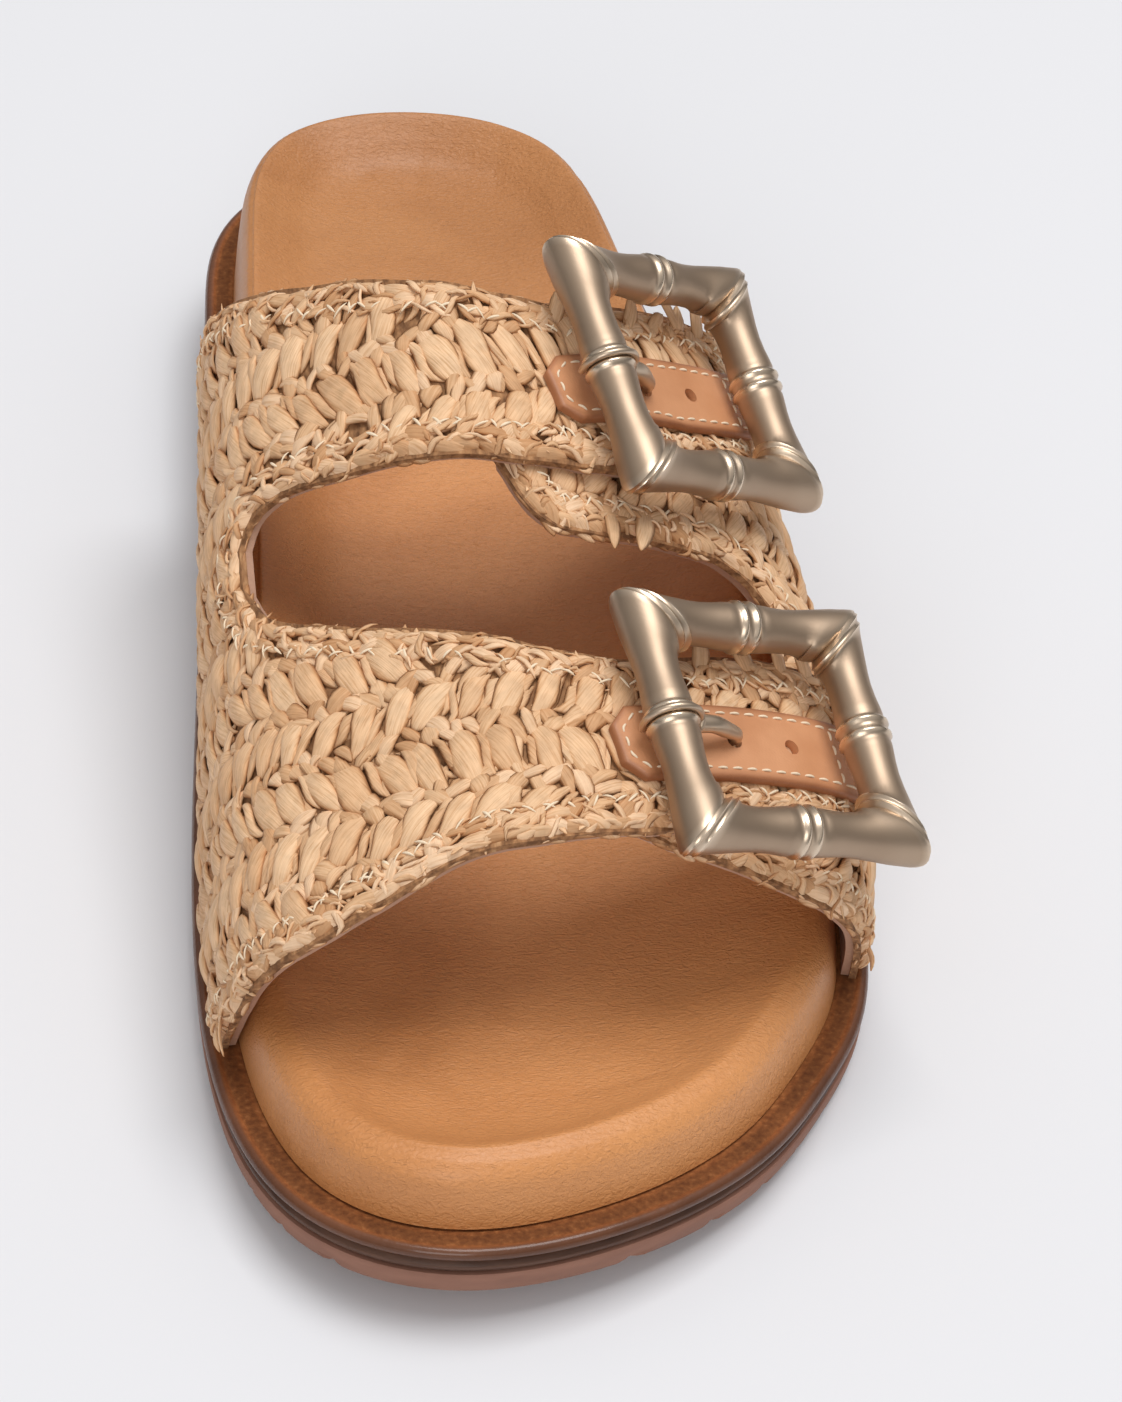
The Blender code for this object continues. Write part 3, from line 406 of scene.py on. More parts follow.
def upper_section(along):
    """Points of the upper's outer face across the shoe, from its inner base to its outer base."""
    row = {key: np.interp(along / LENGTH, UPPER_SECTIONS["along"], values)
           for key, values in UPPER_SECTIONS.items()}
    inner, outer = sole_sides(along)
    inner += UPPER_MARGIN
    outer -= UPPER_MARGIN
    half = (outer - inner) / 2.0
    base = seat_height(along)
    rise = row["crown_rise"] * STRAP_RISE
    return np.array([
        (inner, base),
        (inner + row["inner_in"] * half, base + row["inner_up"] * rise),
        ((inner + outer) / 2.0 + row["crown_across"] * half, base + rise),
        (outer - row["flank_in"] * half, base + row["flank_up"] * rise),
        (outer - row["side_in"] * half, base + row["side_up"] * rise),
        (outer, base),
    ])


SURFACE_ALONG = np.linspace(-0.42 * LENGTH, 0.24 * LENGTH, SURFACE_STEPS)


def sample_upper():
    """Points, normals and girths of the upper's outer face, on an even grid."""
    shares = np.linspace(0.0, 1.0, SURFACE_STEPS)
    points = np.zeros((SURFACE_STEPS, SURFACE_STEPS, 3))
    for row, along in enumerate(SURFACE_ALONG):
        section = spline_points(upper_section(along), False, shares)
        points[row] = np.column_stack([section[:, 0], np.full(SURFACE_STEPS, along), section[:, 1]])
    normals = np.cross(np.gradient(points, axis=1), np.gradient(points, axis=0))
    normals /= np.linalg.norm(normals, axis=2)[:, :, None]
    girths = np.linalg.norm(np.diff(points, axis=1), axis=2).sum(axis=1)
    return points, normals, girths


SURFACE_POINTS, SURFACE_NORMALS, SURFACE_GIRTHS = sample_upper()
GIRTH = float(np.interp(-0.2 * LENGTH, SURFACE_ALONG, SURFACE_GIRTHS))


def girth_at(along):
    return np.interp(along, SURFACE_ALONG, SURFACE_GIRTHS)


def on_upper(shares, along, lifts):
    """Points above the upper's outer face, at shares of the way round and places along the shoe."""
    column = np.clip(shares, 0.0, 1.0) * (SURFACE_STEPS - 1)
    span = SURFACE_ALONG[-1] - SURFACE_ALONG[0]
    row = np.clip((along - SURFACE_ALONG[0]) / span, 0.0, 1.0) * (SURFACE_STEPS - 1)
    left = np.minimum(column.astype(int), SURFACE_STEPS - 2)
    low = np.minimum(row.astype(int), SURFACE_STEPS - 2)
    across = (column - left)[..., None]
    up = (row - low)[..., None]

    def blend(grid):
        near = grid[low, left] * (1.0 - across) + grid[low, left + 1] * across
        far = grid[low + 1, left] * (1.0 - across) + grid[low + 1, left + 1] * across
        return near * (1.0 - up) + far * up

    normals = blend(SURFACE_NORMALS)
    normals /= np.linalg.norm(normals, axis=-1)[..., None]
    return blend(SURFACE_POINTS) + normals * lifts[..., None]


def strap_lift(share):
    """How far a strap stands out where it laps over the quarter."""
    return (WALL + LAP_GAP) * smooth_step((share - 0.33) / 0.145)


def piece_lift(piece, share):
    return strap_lift(share) if piece is STRAP else np.zeros_like(share)


def edge_at(piece, name, shares):
    """Places along the shoe of a named edge, on a smooth line through its table."""
    rows = sorted(piece["edges"], key=lambda row: row["round"])
    rounds = [row["round"] for row in rows]
    places = [row[name] for row in rows]
    before, here, after = [np.interp(shares + step, rounds, places) for step in (-0.008, 0.0, 0.008)]
    return (0.25 * before + 0.5 * here + 0.25 * after) * LENGTH


def piece_rim(piece):
    """Rim of a piece from base to base, as evenly spaced flat points: length round and place along."""
    base, split = piece["base"], piece["split"]
    route = []
    for name, start, end in (("toe", base, piece["front_end"]), ("window_toe", piece["front_end"], split),
                             ("window_heel", split, piece["rear_end"]), ("heel", piece["rear_end"], base)):
        shares = np.linspace(start, end, 240)
        route.append(np.column_stack([shares * GIRTH, edge_at(piece, name, shares)]))
    route = np.vstack(route)
    marks = line_marks(route)
    even = line_points(route, marks, np.arange(0.0, marks[-1], RIM_STEP))
    reach = 3
    padded = np.vstack([even[:1]] * reach + [even] + [even[-1:]] * reach)
    return sum(padded[step:step + len(even)] for step in range(2 * reach + 1)) / (2 * reach + 1)


RIMS = {piece["name"]: piece_rim(piece) for piece in (STRAP, QUARTER)}


def rim_turn(rim):
    """1 where the inside of a rim lies to the left of its direction, -1 where it lies to the right."""
    after = np.roll(rim, -1, axis=0)
    area = np.sum(rim[:, 0] * after[:, 1] - after[:, 0] * rim[:, 1])
    return 1.0 if area > 0.0 else -1.0


def distance_inside(rim, points):
    """Distance of flat points from a rim, negative outside it. The base line isn't an edge."""
    distance = np.full(len(points), np.inf)
    for start in range(0, len(rim), 200):
        part = rim[start:start + 200]
        gaps = np.linalg.norm(points[:, None, :] - part[None, :, :], axis=2)
        distance = np.minimum(distance, gaps.min(axis=1))
    after = np.roll(rim, -1, axis=0)
    inside = np.zeros(len(points), bool)
    for here, there in zip(rim, after):
        crosses = (here[1] > points[:, 1]) != (there[1] > points[:, 1])
        slope = (there[0] - here[0]) / (there[1] - here[1] + 1e-12)
        inside ^= crosses & (points[:, 0] < here[0] + (points[:, 1] - here[1]) * slope)
    return np.where(inside, distance, -distance)


# Meshes

def add_object(name, data):
    """Object in the scene for a mesh, a light or a camera."""
    thing = bpy.data.objects.new(name, data)
    bpy.context.scene.collection.objects.link(thing)
    return thing


def add_piece(name, vertices, faces, finish, node=None, slot=None, sharp=None):
    """Mesh object that rides on the shoe, stands for a solid if it has one, and is shaded smooth."""
    mesh = bpy.data.meshes.new(name)
    mesh.from_pydata(np.asarray(vertices).tolist(), [], faces)
    work = bmesh.new()
    work.from_mesh(mesh)
    loose = [vertex for vertex in work.verts if not vertex.link_faces]
    bmesh.ops.delete(work, geom=loose, context="VERTS")
    bmesh.ops.recalc_face_normals(work, faces=work.faces)
    work.to_mesh(mesh)
    work.free()
    mesh.shade_smooth()
    if sharp is not None:
        mesh.set_sharp_from_angle(angle=math.radians(sharp))
    mesh.materials.append(finish)
    thing = add_object(name, mesh)
    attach(thing, "root")
    if node is not None:
        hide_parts(node)
    return thing


def add_values(thing, name, values):
    """Store a number or a vector on each point of a piece, for its finish to read."""
    values = np.asarray(values, dtype=np.float32)
    if values.ndim == 1:
        layer = thing.data.attributes.new(name, "FLOAT", "POINT")
        layer.data.foreach_set("value", values)
    else:
        layer = thing.data.attributes.new(name, "FLOAT_VECTOR", "POINT")
        layer.data.foreach_set("vector", values.ravel())


def grid_faces(rows, columns, closed=False):
    """Quads between neighbouring points of a grid, closed across its columns if asked."""
    faces = []
    for row in range(rows - 1):
        for column in range(columns if closed else columns - 1):
            after = (column + 1) % columns
            low = row * columns
            faces.append((low + column, low + after, low + columns + after, low + columns + column))
    return faces


def capped_faces(rings, sides):
    """Faces of a stack of closed rings, with one face over each end."""
    faces = grid_faces(rings, sides, closed=True)
    faces.append(tuple(range(sides)))
    faces.append(tuple(range((rings - 1) * sides, rings * sides)))
    return faces


def ladder_faces(offset, count):
    """Faces that close a ring with quads across the shoe, from toe to heel."""
    faces = []
    for step in range(count // 2):
        corners = [step, step + 1, count - step - 1, (count - step) % count]
        corners = list(dict.fromkeys(corner + offset for corner in corners))
        if len(corners) > 2:
            faces.append(corners)
    return faces


def loft_rings(rings):
    """Closed mesh data through a stack of rings, with ladder caps below and above."""
    count = len(rings[0])
    faces = grid_faces(len(rings), count, closed=True)
    faces += ladder_faces(0, count)
    faces += ladder_faces((len(rings) - 1) * count, count)
    return np.vstack(rings), faces


def rings_between(rings, steps):
    """Smooth rings between the given ones, steps to each gap."""
    rings = np.array(rings)
    last = len(rings) - 1
    made = []
    for start in range(last):
        before = rings[max(start - 1, 0)]
        after = rings[min(start + 2, last)]
        for share in np.linspace(0.0, 1.0, steps, endpoint=False):
            near = rings[start]
            far = rings[start + 1]
            bend = 2.0 * before - 5.0 * near + 4.0 * far - after
            twist = -before + 3.0 * near - 3.0 * far + after
            slope = far - before
            made.append(near + 0.5 * share * (slope + share * (bend + share * twist)))
    made.append(rings[last])
    return made


def ring_at(inset, height_at, above=0.0):
    """Ring of points at an inset from the sole's outline, above a height that depends on the place."""
    ring = inset_outline(inset)
    return np.column_stack([ring, height_at(ring[:, 1]) + above])


def cut_away(thing, cutters):
    """Cut meshes out of a piece, and leave nothing of them behind."""
    for cutter in cutters:
        modifier = thing.modifiers.new("cut", "BOOLEAN")
        modifier.operation = "DIFFERENCE"
        modifier.solver = "EXACT"
        modifier.object = cutter
    bpy.context.view_layer.update()
    finished = thing.evaluated_get(bpy.context.evaluated_depsgraph_get())
    mesh = bpy.data.meshes.new_from_object(finished)
    thing.modifiers.clear()
    thing.data = mesh
    for cutter in cutters:
        bpy.data.objects.remove(cutter)


def tube(points, radii, side_axis, sides):
    """Closed round tube along a route, as points and faces."""
    rings = []
    count = len(points)
    for number, point in enumerate(points):
        direction = unit(points[min(number + 1, count - 1)] - points[max(number - 1, 0)])
        up = unit(np.cross(direction, side_axis))
        aside = np.cross(up, direction)
        angles = np.linspace(0.0, 2.0 * math.pi, sides, endpoint=False)[:, None]
        rings.append(point + radii[number] * (np.cos(angles) * aside + np.sin(angles) * up))
    return np.vstack(rings), capped_faces(count, sides)


def join_parts(parts):
    """One list of points and one of faces from several."""
    vertices = []
    faces = []
    for points, part_faces in parts:
        offset = sum(len(done) for done in vertices)
        vertices.append(points)
        faces += [tuple(corner + offset for corner in face) for face in part_faces]
    return np.vstack(vertices), faces


# Finishes

def make_finish(name, color, roughness, **sockets):
    """Material whose shader has these constant values, named with spaces as underscores."""
    finish = bpy.data.materials.new(name)
    finish.use_nodes = True
    shader = finish.node_tree.nodes["Principled BSDF"]
    shader.inputs["Base Color"].default_value = (*color, 1.0)
    shader.inputs["Roughness"].default_value = roughness
    for socket, value in sockets.items():
        shader.inputs[socket.replace("_", " ")].default_value = value
    return finish


def add_node(finish, kind, values=None, **settings):
    node = finish.node_tree.nodes.new("ShaderNode" + kind)
    for setting, value in settings.items():
        setattr(node, setting, value)
    for socket, value in (values or {}).items():
        node.inputs[socket].default_value = value
    return node


def link(finish, source, target):
    finish.node_tree.links.new(source, target)


def feed(finish, name, source):
    """Join a socket to an input of the finish's shader."""
    link(finish, source, finish.node_tree.nodes["Principled BSDF"].inputs[name])


def place_source(finish, name=None, stretch=(1.0, 1.0, 1.0), turn=0.0):
    """Places for a pattern: a stored vector, or the shoe's own coordinates, stretched and turned."""
    if name is None:
        source = add_node(finish, "TexCoord").outputs["Object"]
    else:
        source = add_node(finish, "Attribute", attribute_name=name).outputs["Vector"]
    mapping = add_node(finish, "Mapping", {"Scale": stretch, "Rotation": (0.0, 0.0, math.radians(turn))})
    link(finish, source, mapping.inputs["Vector"])
    return mapping.outputs["Vector"]


def noise(finish, place, scale, detail=3.0, distortion=0.0):
    node = add_node(finish, "TexNoise", {"Scale": scale, "Detail": detail, "Distortion": distortion})
    link(finish, place, node.inputs["Vector"])
    return node.outputs["Fac"]


def ramp(finish, factor, stops):
    """Colours or greys along a factor, from (place, colour) stops."""
    node = add_node(finish, "ValToRGB")
    steps = node.color_ramp.elements
    for number, (place, color) in enumerate(stops):
        if number >= len(steps):
            steps.new(place)
        steps[number].position = place
        steps[number].color = (*color, 1.0) if isinstance(color, tuple) else (color, color, color, 1.0)
    link(finish, factor, node.inputs["Fac"])
    return node.outputs["Color"]


def mix(finish, factor, first, second, blend="MIX"):
    """Mix of two colours by a factor, which is a number or a socket."""
    node = add_node(finish, "Mix", data_type="RGBA", blend_type=blend)
    if isinstance(factor, float):
        node.inputs[0].default_value = factor
    else:
        link(finish, factor, node.inputs[0])
    link(finish, first, node.inputs[6])
    link(finish, second, node.inputs[7])
    return node.outputs[2]


def bump(finish, height, depth, below=None):
    """Relief of a depth in metres, on top of another relief if there is one."""
    node = add_node(finish, "Bump", {"Strength": 1.0, "Distance": depth})
    link(finish, height, node.inputs["Height"])
    if below is not None:
        link(finish, below, node.inputs["Normal"])
    return node.outputs["Normal"]


def stored(finish, name):
    return add_node(finish, "Attribute", attribute_name=name).outputs["Fac"]


def raffia_finish(name, light, middle, dark, fibre_depth):
    """Straw with fibres along each leaf, a tint for each leaf, and thinner edges with painted shade that
    makes them browner.
    """
    finish = make_finish(name, middle, 0.62, Specular_IOR_Level=0.32)
    fibre_place = place_source(finish, "grain", stretch=(240.0, 4600.0, 900.0))
    fibres = noise(finish, fibre_place, 1.0, detail=4.0, distortion=0.25)
    patches = noise(finish, place_source(finish, "grain", stretch=(420.0, 420.0, 700.0)), 1.0)
    tint = ramp(finish, stored(finish, "tint"), [(0.0, dark), (0.45, middle), (1.0, light)])
    shade = ramp(finish, fibres, [(0.28, (0.78, 0.66, 0.54)), (0.5, (0.97, 0.95, 0.93)),
                                  (0.72, (1.06, 1.07, 1.08))])
    spots = ramp(finish, patches, [(0.3, 0.86), (0.62, 1.04)])
    # Painted shade: the colour turns darker and browner towards each leaf's edge, standing in for the shade
    # between leaves.
    rim = ramp(finish, stored(finish, "edge"), [(0.6, (1.0, 1.0, 1.0)), (0.86, (0.90, 0.82, 0.73)),
                                                (1.0, (0.56, 0.38, 0.25))])
    color = mix(finish, 1.0, mix(finish, 1.0, tint, shade, "MULTIPLY"), spots, "MULTIPLY")
    feed(finish, "Base Color", mix(finish, 1.0, color, rim, "MULTIPLY"))
    feed(finish, "Normal", bump(finish, fibres, fibre_depth))
    return finish


def ground_finish():
    """Straw under the leaves, painted dark as the shade between them: crossing fibres."""
    finish = make_finish("raffia_ground", (0.27, 0.13, 0.05), 0.85)
    crossing = noise(finish, place_source(finish, stretch=(1.0, 0.35, 1.0)), 900.0, detail=4.0)
    feed(finish, "Base Color", ramp(finish, crossing, [
        (0.35, (0.17, 0.075, 0.028)), (0.6, (0.40, 0.20, 0.085)), (0.8, (0.60, 0.36, 0.18))]))
    feed(finish, "Normal", bump(finish, crossing, 0.5 * MM))
    return finish


def leather_finish(name, light, middle, dark, roughness, grain, wrinkle, coat=0.0, heel=1.0):
    """Leather with soft patches, fine pores and short flowing wrinkles, and painted shade that darkens it
    towards the heel.
    """
    finish = make_finish(name, middle, roughness, Specular_IOR_Level=0.36, Coat_Weight=coat,
                         Coat_Roughness=0.34)
    clouds = noise(finish, place_source(finish), 28.0, detail=4.0, distortion=0.6)
    along_grain = place_source(finish, stretch=(0.45, 1.0, 0.8), turn=14.0)
    flow = noise(finish, along_grain, 1700.0, detail=2.0, distortion=1.2)
    pores = add_node(finish, "TexVoronoi", {"Scale": 1500.0}, feature="F1")
    link(finish, place_source(finish), pores.inputs["Vector"])
    color = ramp(finish, clouds, [(0.3, dark), (0.5, middle), (0.72, light)])
    worn = ramp(finish, flow, [(0.3, 0.95), (0.65, 1.03)])
    color = mix(finish, 1.0, color, worn, "MULTIPLY")
    axes = add_node(finish, "SeparateXYZ")
    # Painted shade: from a tenth to over a third of LENGTH towards the heel, the colour darkens to the share
    # heel.
    link(finish, place_source(finish, stretch=(1.0, 1.0 / LENGTH, 1.0)), axes.inputs["Vector"])
    painted_heel_shade = ramp(finish, axes.outputs["Y"], [(0.10, 1.0), (0.36, heel)])
    feed(finish, "Base Color", mix(finish, 1.0, color, painted_heel_shade, "MULTIPLY"))
    relief = bump(finish, flow, wrinkle)
    feed(finish, "Normal", bump(finish, pores.outputs["Distance"], grain, relief))
    return finish


def welt_finish():
    """Brown suede on top with a paler stitched-down line, and a dark waxed rim."""
    finish = make_finish("welt_suede", (0.13, 0.05, 0.02), 0.8, Specular_IOR_Level=0.25, Coat_Roughness=0.14)
    rim = stored(finish, "rim")
    nap = noise(finish, place_source(finish), 1200.0, detail=5.0)
    clouds = noise(finish, place_source(finish), 90.0, detail=3.0)
    suede = ramp(finish, nap, [(0.3, (0.120, 0.038, 0.011)), (0.6, (0.195, 0.068, 0.020)),
                               (0.8, (0.29, 0.115, 0.040))])
    patches = ramp(finish, clouds, [(0.35, 0.85), (0.65, 1.08)])
    suede = mix(finish, 1.0, suede, patches, "MULTIPLY")
    waxed = ramp(finish, clouds, [(0.3, (0.085, 0.028, 0.010)), (0.7, (0.14, 0.048, 0.018))])
    line = ramp(finish, stored(finish, "line"), [(0.0, 1.0), (1.0, 1.9)])
    feed(finish, "Base Color", mix(finish, 1.0, mix(finish, rim, suede, waxed), line, "MULTIPLY"))
    feed(finish, "Roughness", ramp(finish, rim, [(0.2, 0.85), (0.8, 0.45)]))
    feed(finish, "Coat Weight", ramp(finish, rim, [(0.3, 0.0), (0.9, 0.5)]))
    feed(finish, "Normal", bump(finish, nap, 0.14 * MM))
    return finish


def band_finish(name, light, dark, roughness, streaks, depth):
    """Moulded or waxed side band with long streaks and fine grit."""
    finish = make_finish(name, light, roughness, Specular_IOR_Level=0.3)
    long = noise(finish, place_source(finish, stretch=(1.0, 1.0, streaks)), 120.0, detail=4.0)
    grit = noise(finish, place_source(finish), 1600.0, detail=2.0)
    feed(finish, "Base Color", ramp(finish, long, [(0.3, dark), (0.7, light)]))
    feed(finish, "Roughness", ramp(finish, long, [(0.3, roughness - 0.1), (0.7, roughness + 0.12)]))
    feed(finish, "Normal", bump(finish, grit, depth))
    return finish


def metal_finish(name, color, worn, roughness):
    """Satin plated metal: brushed faint lines, brighter where the ridges are polished."""
    finish = make_finish(name, color, roughness, Metallic=1.0)
    lines = noise(finish, place_source(finish, "grain"), 1800.0, detail=3.0)
    clouds = noise(finish, place_source(finish), 110.0, detail=2.0)
    polish = stored(finish, "polish")
    satin = ramp(finish, clouds, [(0.3, color), (0.7, tuple(1.06 * part for part in color))])
    bright = ramp(finish, clouds, [(0.3, worn), (0.7, tuple(1.04 * part for part in worn))])
    feed(finish, "Base Color", mix(finish, polish, satin, bright))
    feed(finish, "Roughness", ramp(finish, polish, [(0.0, roughness), (1.0, 0.55 * roughness)]))
    feed(finish, "Normal", bump(finish, lines, 0.012 * MM))
    return finish


def tab_finish():
    """Smooth tan leather, darker along its cut edge."""
    finish = make_finish("tab_leather", (0.52, 0.25, 0.12), 0.48)
    clouds = noise(finish, place_source(finish), 120.0, detail=4.0)
    pores = noise(finish, place_source(finish), 2600.0, detail=3.0)
    smooth = ramp(finish, clouds, [(0.3, (0.58, 0.255, 0.115)), (0.7, (0.70, 0.335, 0.165))])
    cut = ramp(finish, clouds, [(0.3, (0.33, 0.125, 0.05)), (0.7, (0.46, 0.185, 0.08))])
    feed(finish, "Base Color", mix(finish, stored(finish, "edge"), smooth, cut))
    feed(finish, "Normal", bump(finish, pores, 0.05 * MM))
    return finish


# Sole

# Outsole from its lower edge up: inset in millimetres and share of its thickness
OUTSOLE_PROFILE = table(
    "inset level",
    (1.2, 0.0), (0.75, 0.06), (0.42, 0.25), (0.12, 0.62), (0.0, 0.90), (0.16, 0.98), (0.6, 1.0))


def make_outsole(finish):
    """Rubber outsole with a drawn-in lower edge, a moulded line and cross grooves."""
    rings = [ring_at(row["inset"] * MM, ground_height, row["level"] * OUTSOLE_THICKNESS)
             for row in OUTSOLE_PROFILE]
    outsole = add_piece("outsole_rubber_layer", *loft_rings(rings), finish, "outsole", "outsole_rubber", 40)
    work = bmesh.new()
    count = int(LENGTH / 2.0 / LUG_PITCH + 0.5)
    for number in range(-count, count):
        along = (number + 0.5) * LUG_PITCH
        inner, outer = sole_sides(along)
        slope = (ground_height(along + MM) - ground_height(along - MM)) / (2.0 * MM)
        made = bmesh.ops.create_cube(work, size=1.0)["verts"]
        bmesh.ops.scale(work, vec=(outer - inner + 12 * MM, LUG_GROOVE, 2.0 * LUG_DEPTH), verts=made)
        turn = Euler((math.atan(slope), 0.0, 0.0)).to_matrix()
        bmesh.ops.rotate(work, matrix=turn, verts=made)
        bmesh.ops.translate(work, vec=((inner + outer) / 2.0, along, ground_height(along)), verts=made)
    mesh = bpy.data.meshes.new("lug_grooves")
    work.to_mesh(mesh)
    work.free()
    cut_away(outsole, [add_object("lug_grooves", mesh)])
    outsole.data.set_sharp_from_angle(angle=math.radians(40))


def make_midsole(finish):
    """Midsole band, thin at the toe and thick under the heel, drawn in below the welt."""
    def level(share):
        return lambda along: (1.0 - share) * (outsole_top(along) + FIT_GAP) + share * midsole_top(along)

    rings = [ring_at(inset * MM, level(share)) for inset, share in ((0.9, 0.0), (0.5, 0.05), (0.30, 0.25))]
    rings += [ring_at(inset * MM, midsole_top, -drop * MIDSOLE_AT_TOE)
              for inset, drop in ((0.2, 0.55), (0.35, 0.40), (0.8, 0.25))]
    rings.append(ring_at(WELT_GROOVE, midsole_top))
    add_piece("midsole_band", *loft_rings(rings), finish, "midsole", "midsole_board", 50)


# Welt from under its edge to under the footbed: inset in millimetres and share of its thickness,
# how much of the rim's wax it has, and how much of the pale line.
WELT_PROFILE = table(
    "inset level rim line",
    (0.9, 0.00, 1.0, 0.0),
    (0.35, 0.04, 1.0, 0.0),
    (-0.05, 0.16, 1.0, 0.0),
    (-0.26, 0.34, 1.0, 0.0),
    (-0.26, 0.54, 1.0, 0.0),
    (-0.08, 0.74, 1.0, 0.0),
    (0.24, 0.91, 1.0, 0.1),
    (0.65, 1.00, 0.9, 0.3),
    (1.05, 1.02, 0.6, 0.8),
    (1.35, 0.97, 0.3, 1.0),
    (1.60, 0.86, 0.1, 0.6),
    (1.90, 0.93, 0.0, 0.1),
    (2.60, 0.97, 0.0, 0.0),
    (3.50, 0.98, 0.0, 0.0),
    (4.00, 0.99, 0.0, 0.5),
    (4.60, 0.92, 0.0, 0.9),
    (7.50, 0.90, 0.0, 0.0),
)


def make_welt(finish):
    """Leather welt with a rounded rim and a line pressed in beside it."""
    rings = [ring_at(row["inset"] * MM, midsole_top, FIT_GAP + row["level"] * WELT_THICKNESS)
             for row in WELT_PROFILE]
    welt = add_piece("welt_layer", *loft_rings(rings), finish, "welt", "welt_leather", 70)
    for name in ("rim", "line"):
        add_values(welt, name, np.repeat([row[name] for row in WELT_PROFILE], OUTLINE_POINTS))


def crease_depth(across, along):
    """Depth of the footbed's soft creases at places on it."""
    depth = np.zeros_like(across)
    for crease in CREASES:
        start = np.array(crease["start"]) * (BALL_WIDTH, LENGTH)
        end = np.array(crease["end"]) * (BALL_WIDTH, LENGTH)
        line = end - start
        share = ((across - start[0]) * line[0] + (along - start[1]) * line[1]) / (line @ line)
        bow = 0.06 * np.linalg.norm(line) * np.sin(math.pi * np.clip(share, 0.0, 1.0))
        aside = ((along - start[1]) * line[0] - (across - start[0]) * line[1]) / np.linalg.norm(line) - bow
        fade = smooth_step((share + 0.15) / 0.4) * smooth_step((1.15 - share) / 0.4)
        depth += crease["depth"] * MM * fade * np.exp(-(aside / (0.5 * crease["width"] * MM)) ** 2)
    return depth


def make_footbed(finish):
    """Contoured footbed: a rim that leans in and rolls over, and a creased dish inside it."""
    base_inset = UPPER_MARGIN + WALL + 2.0 * FIT_GAP
    base = inset_outline(base_inset)
    inner, outer = sole_sides(base[:, 1])
    share = smooth_step((base[:, 0] - inner) / (outer - inner))
    low = footbed_value("inner_rim", base[:, 1])
    rim_rises = low + (footbed_value("outer_rim", base[:, 1]) - low) * share
    seats = seat_height(base[:, 1])
    leans = RIM_LEAN_AT_TOE + (RIM_LEAN_AT_HEEL - RIM_LEAN_AT_TOE) * to_heel(base[:, 1])
    rings = []
    for lean, height in RIM_RINGS:
        ring = inset_outline((base_inset + lean * leans)[:, None])
        rings.append(np.column_stack([ring, seats + height * rim_rises]))
    crest = rings[-1]
    spine_start = base[:, 1].min() + 0.36 * BALL_WIDTH
    spine_end = base[:, 1].max() - 0.38 * HEEL_WIDTH
    spine_along = np.clip(crest[:, 1], spine_start, spine_end)
    spine_across = np.mean(sole_sides(spine_along), axis=0)
    middles = footbed_value("middle", crest[:, 1])
    for out, height in DISH_RINGS:
        across = spine_across + (crest[:, 0] - spine_across) * out
        along = spine_along + (crest[:, 1] - spine_along) * out
        heights = seat_height(along) + middles + (rim_rises - middles) * height
        rings.append(np.column_stack([across, along, heights]))
    rings = rings_between(rings, 7)
    for ring in rings:
        ring[:, 2] -= crease_depth(ring[:, 0], ring[:, 1])
    add_piece("footbed_cover", *loft_rings(rings), finish, "footbed", "footbed_leather", 70)


# Upper

# How many faces a layer of the upper has across a strap and the window, and round below and above the
# place where its straps part
ACROSS_STRAP = 18
ACROSS_WINDOW = 8
ROUND_LOW = 16
ROUND_HIGH = 60


def make_layer(name, piece, low, high, shrink, finish, node=None, slot=None):
    """One layer of an upper piece, between two lifts from its outer face, with its window and tongues."""
    parts = ((("toe", "window_toe"), range(ACROSS_STRAP + 1), ACROSS_STRAP, "front_end"),
             (("window_toe", "window_heel"), range(1, ACROSS_WINDOW), ACROSS_WINDOW, None),
             (("window_heel", "heel"), range(ACROSS_STRAP + 1), ACROSS_STRAP, "rear_end"))
    base, split = piece["base"], piece["split"]
    shares = []
    along = []
    for names, numbers, count, end_name in parts:
        end = piece[end_name] if end_name else split
        end -= math.copysign(shrink / GIRTH, end - split) if end_name else 0.0
        lows = np.linspace(base, split, ROUND_LOW, endpoint=False)
        highs = np.linspace(split, end, ROUND_HIGH + 1) if end_name else np.full(ROUND_HIGH + 1, split)
        line = np.concatenate([lows, highs])
        inset = shrink if end_name else -shrink
        start_edge = edge_at(piece, names[0], line) + inset
        end_edge = edge_at(piece, names[1], line) - inset
        for number in numbers:
            shares.append(line)
            along.append(start_edge + (end_edge - start_edge) * number / count)
    shares = np.array(shares).T
    along = np.array(along).T
    rows, columns = shares.shape
    lift = piece_lift(piece, shares)
    top = on_upper(shares, along, lift + high)
    bottom = on_upper(shares, along, lift + low)
    for sheet in (top, bottom):
        sheet[0, :, 2] = seat_height(along[0])
    filled = np.ones((rows - 1, columns - 1), bool)
    filled[ROUND_LOW:, ACROSS_STRAP:ACROSS_STRAP + ACROSS_WINDOW] = False
    offset = rows * columns
    faces = []
    for row, column in np.argwhere(filled):
        here = row * columns + column
        ring = (here, here + 1, here + columns + 1, here + columns)
        faces.append(ring)
        faces.append(tuple(corner + offset for corner in ring[::-1]))
        sides = ((0, -1, ring[3], ring[0]), (-1, 0, ring[0], ring[1]),
                 (0, 1, ring[1], ring[2]), (1, 0, ring[2], ring[3]))
        for down, over, first, second in sides:
            beside = (row + down, column + over)
            outside = beside[0] < 0 or beside[1] < 0 or beside[0] >= rows - 1 or beside[1] >= columns - 1
            if outside or not filled[beside]:
                faces.append((first, second, second + offset, first + offset))
    points = np.vstack([top.reshape(-1, 3), bottom.reshape(-1, 3)])
    return add_piece(name, points, faces, finish, node, slot, 45)


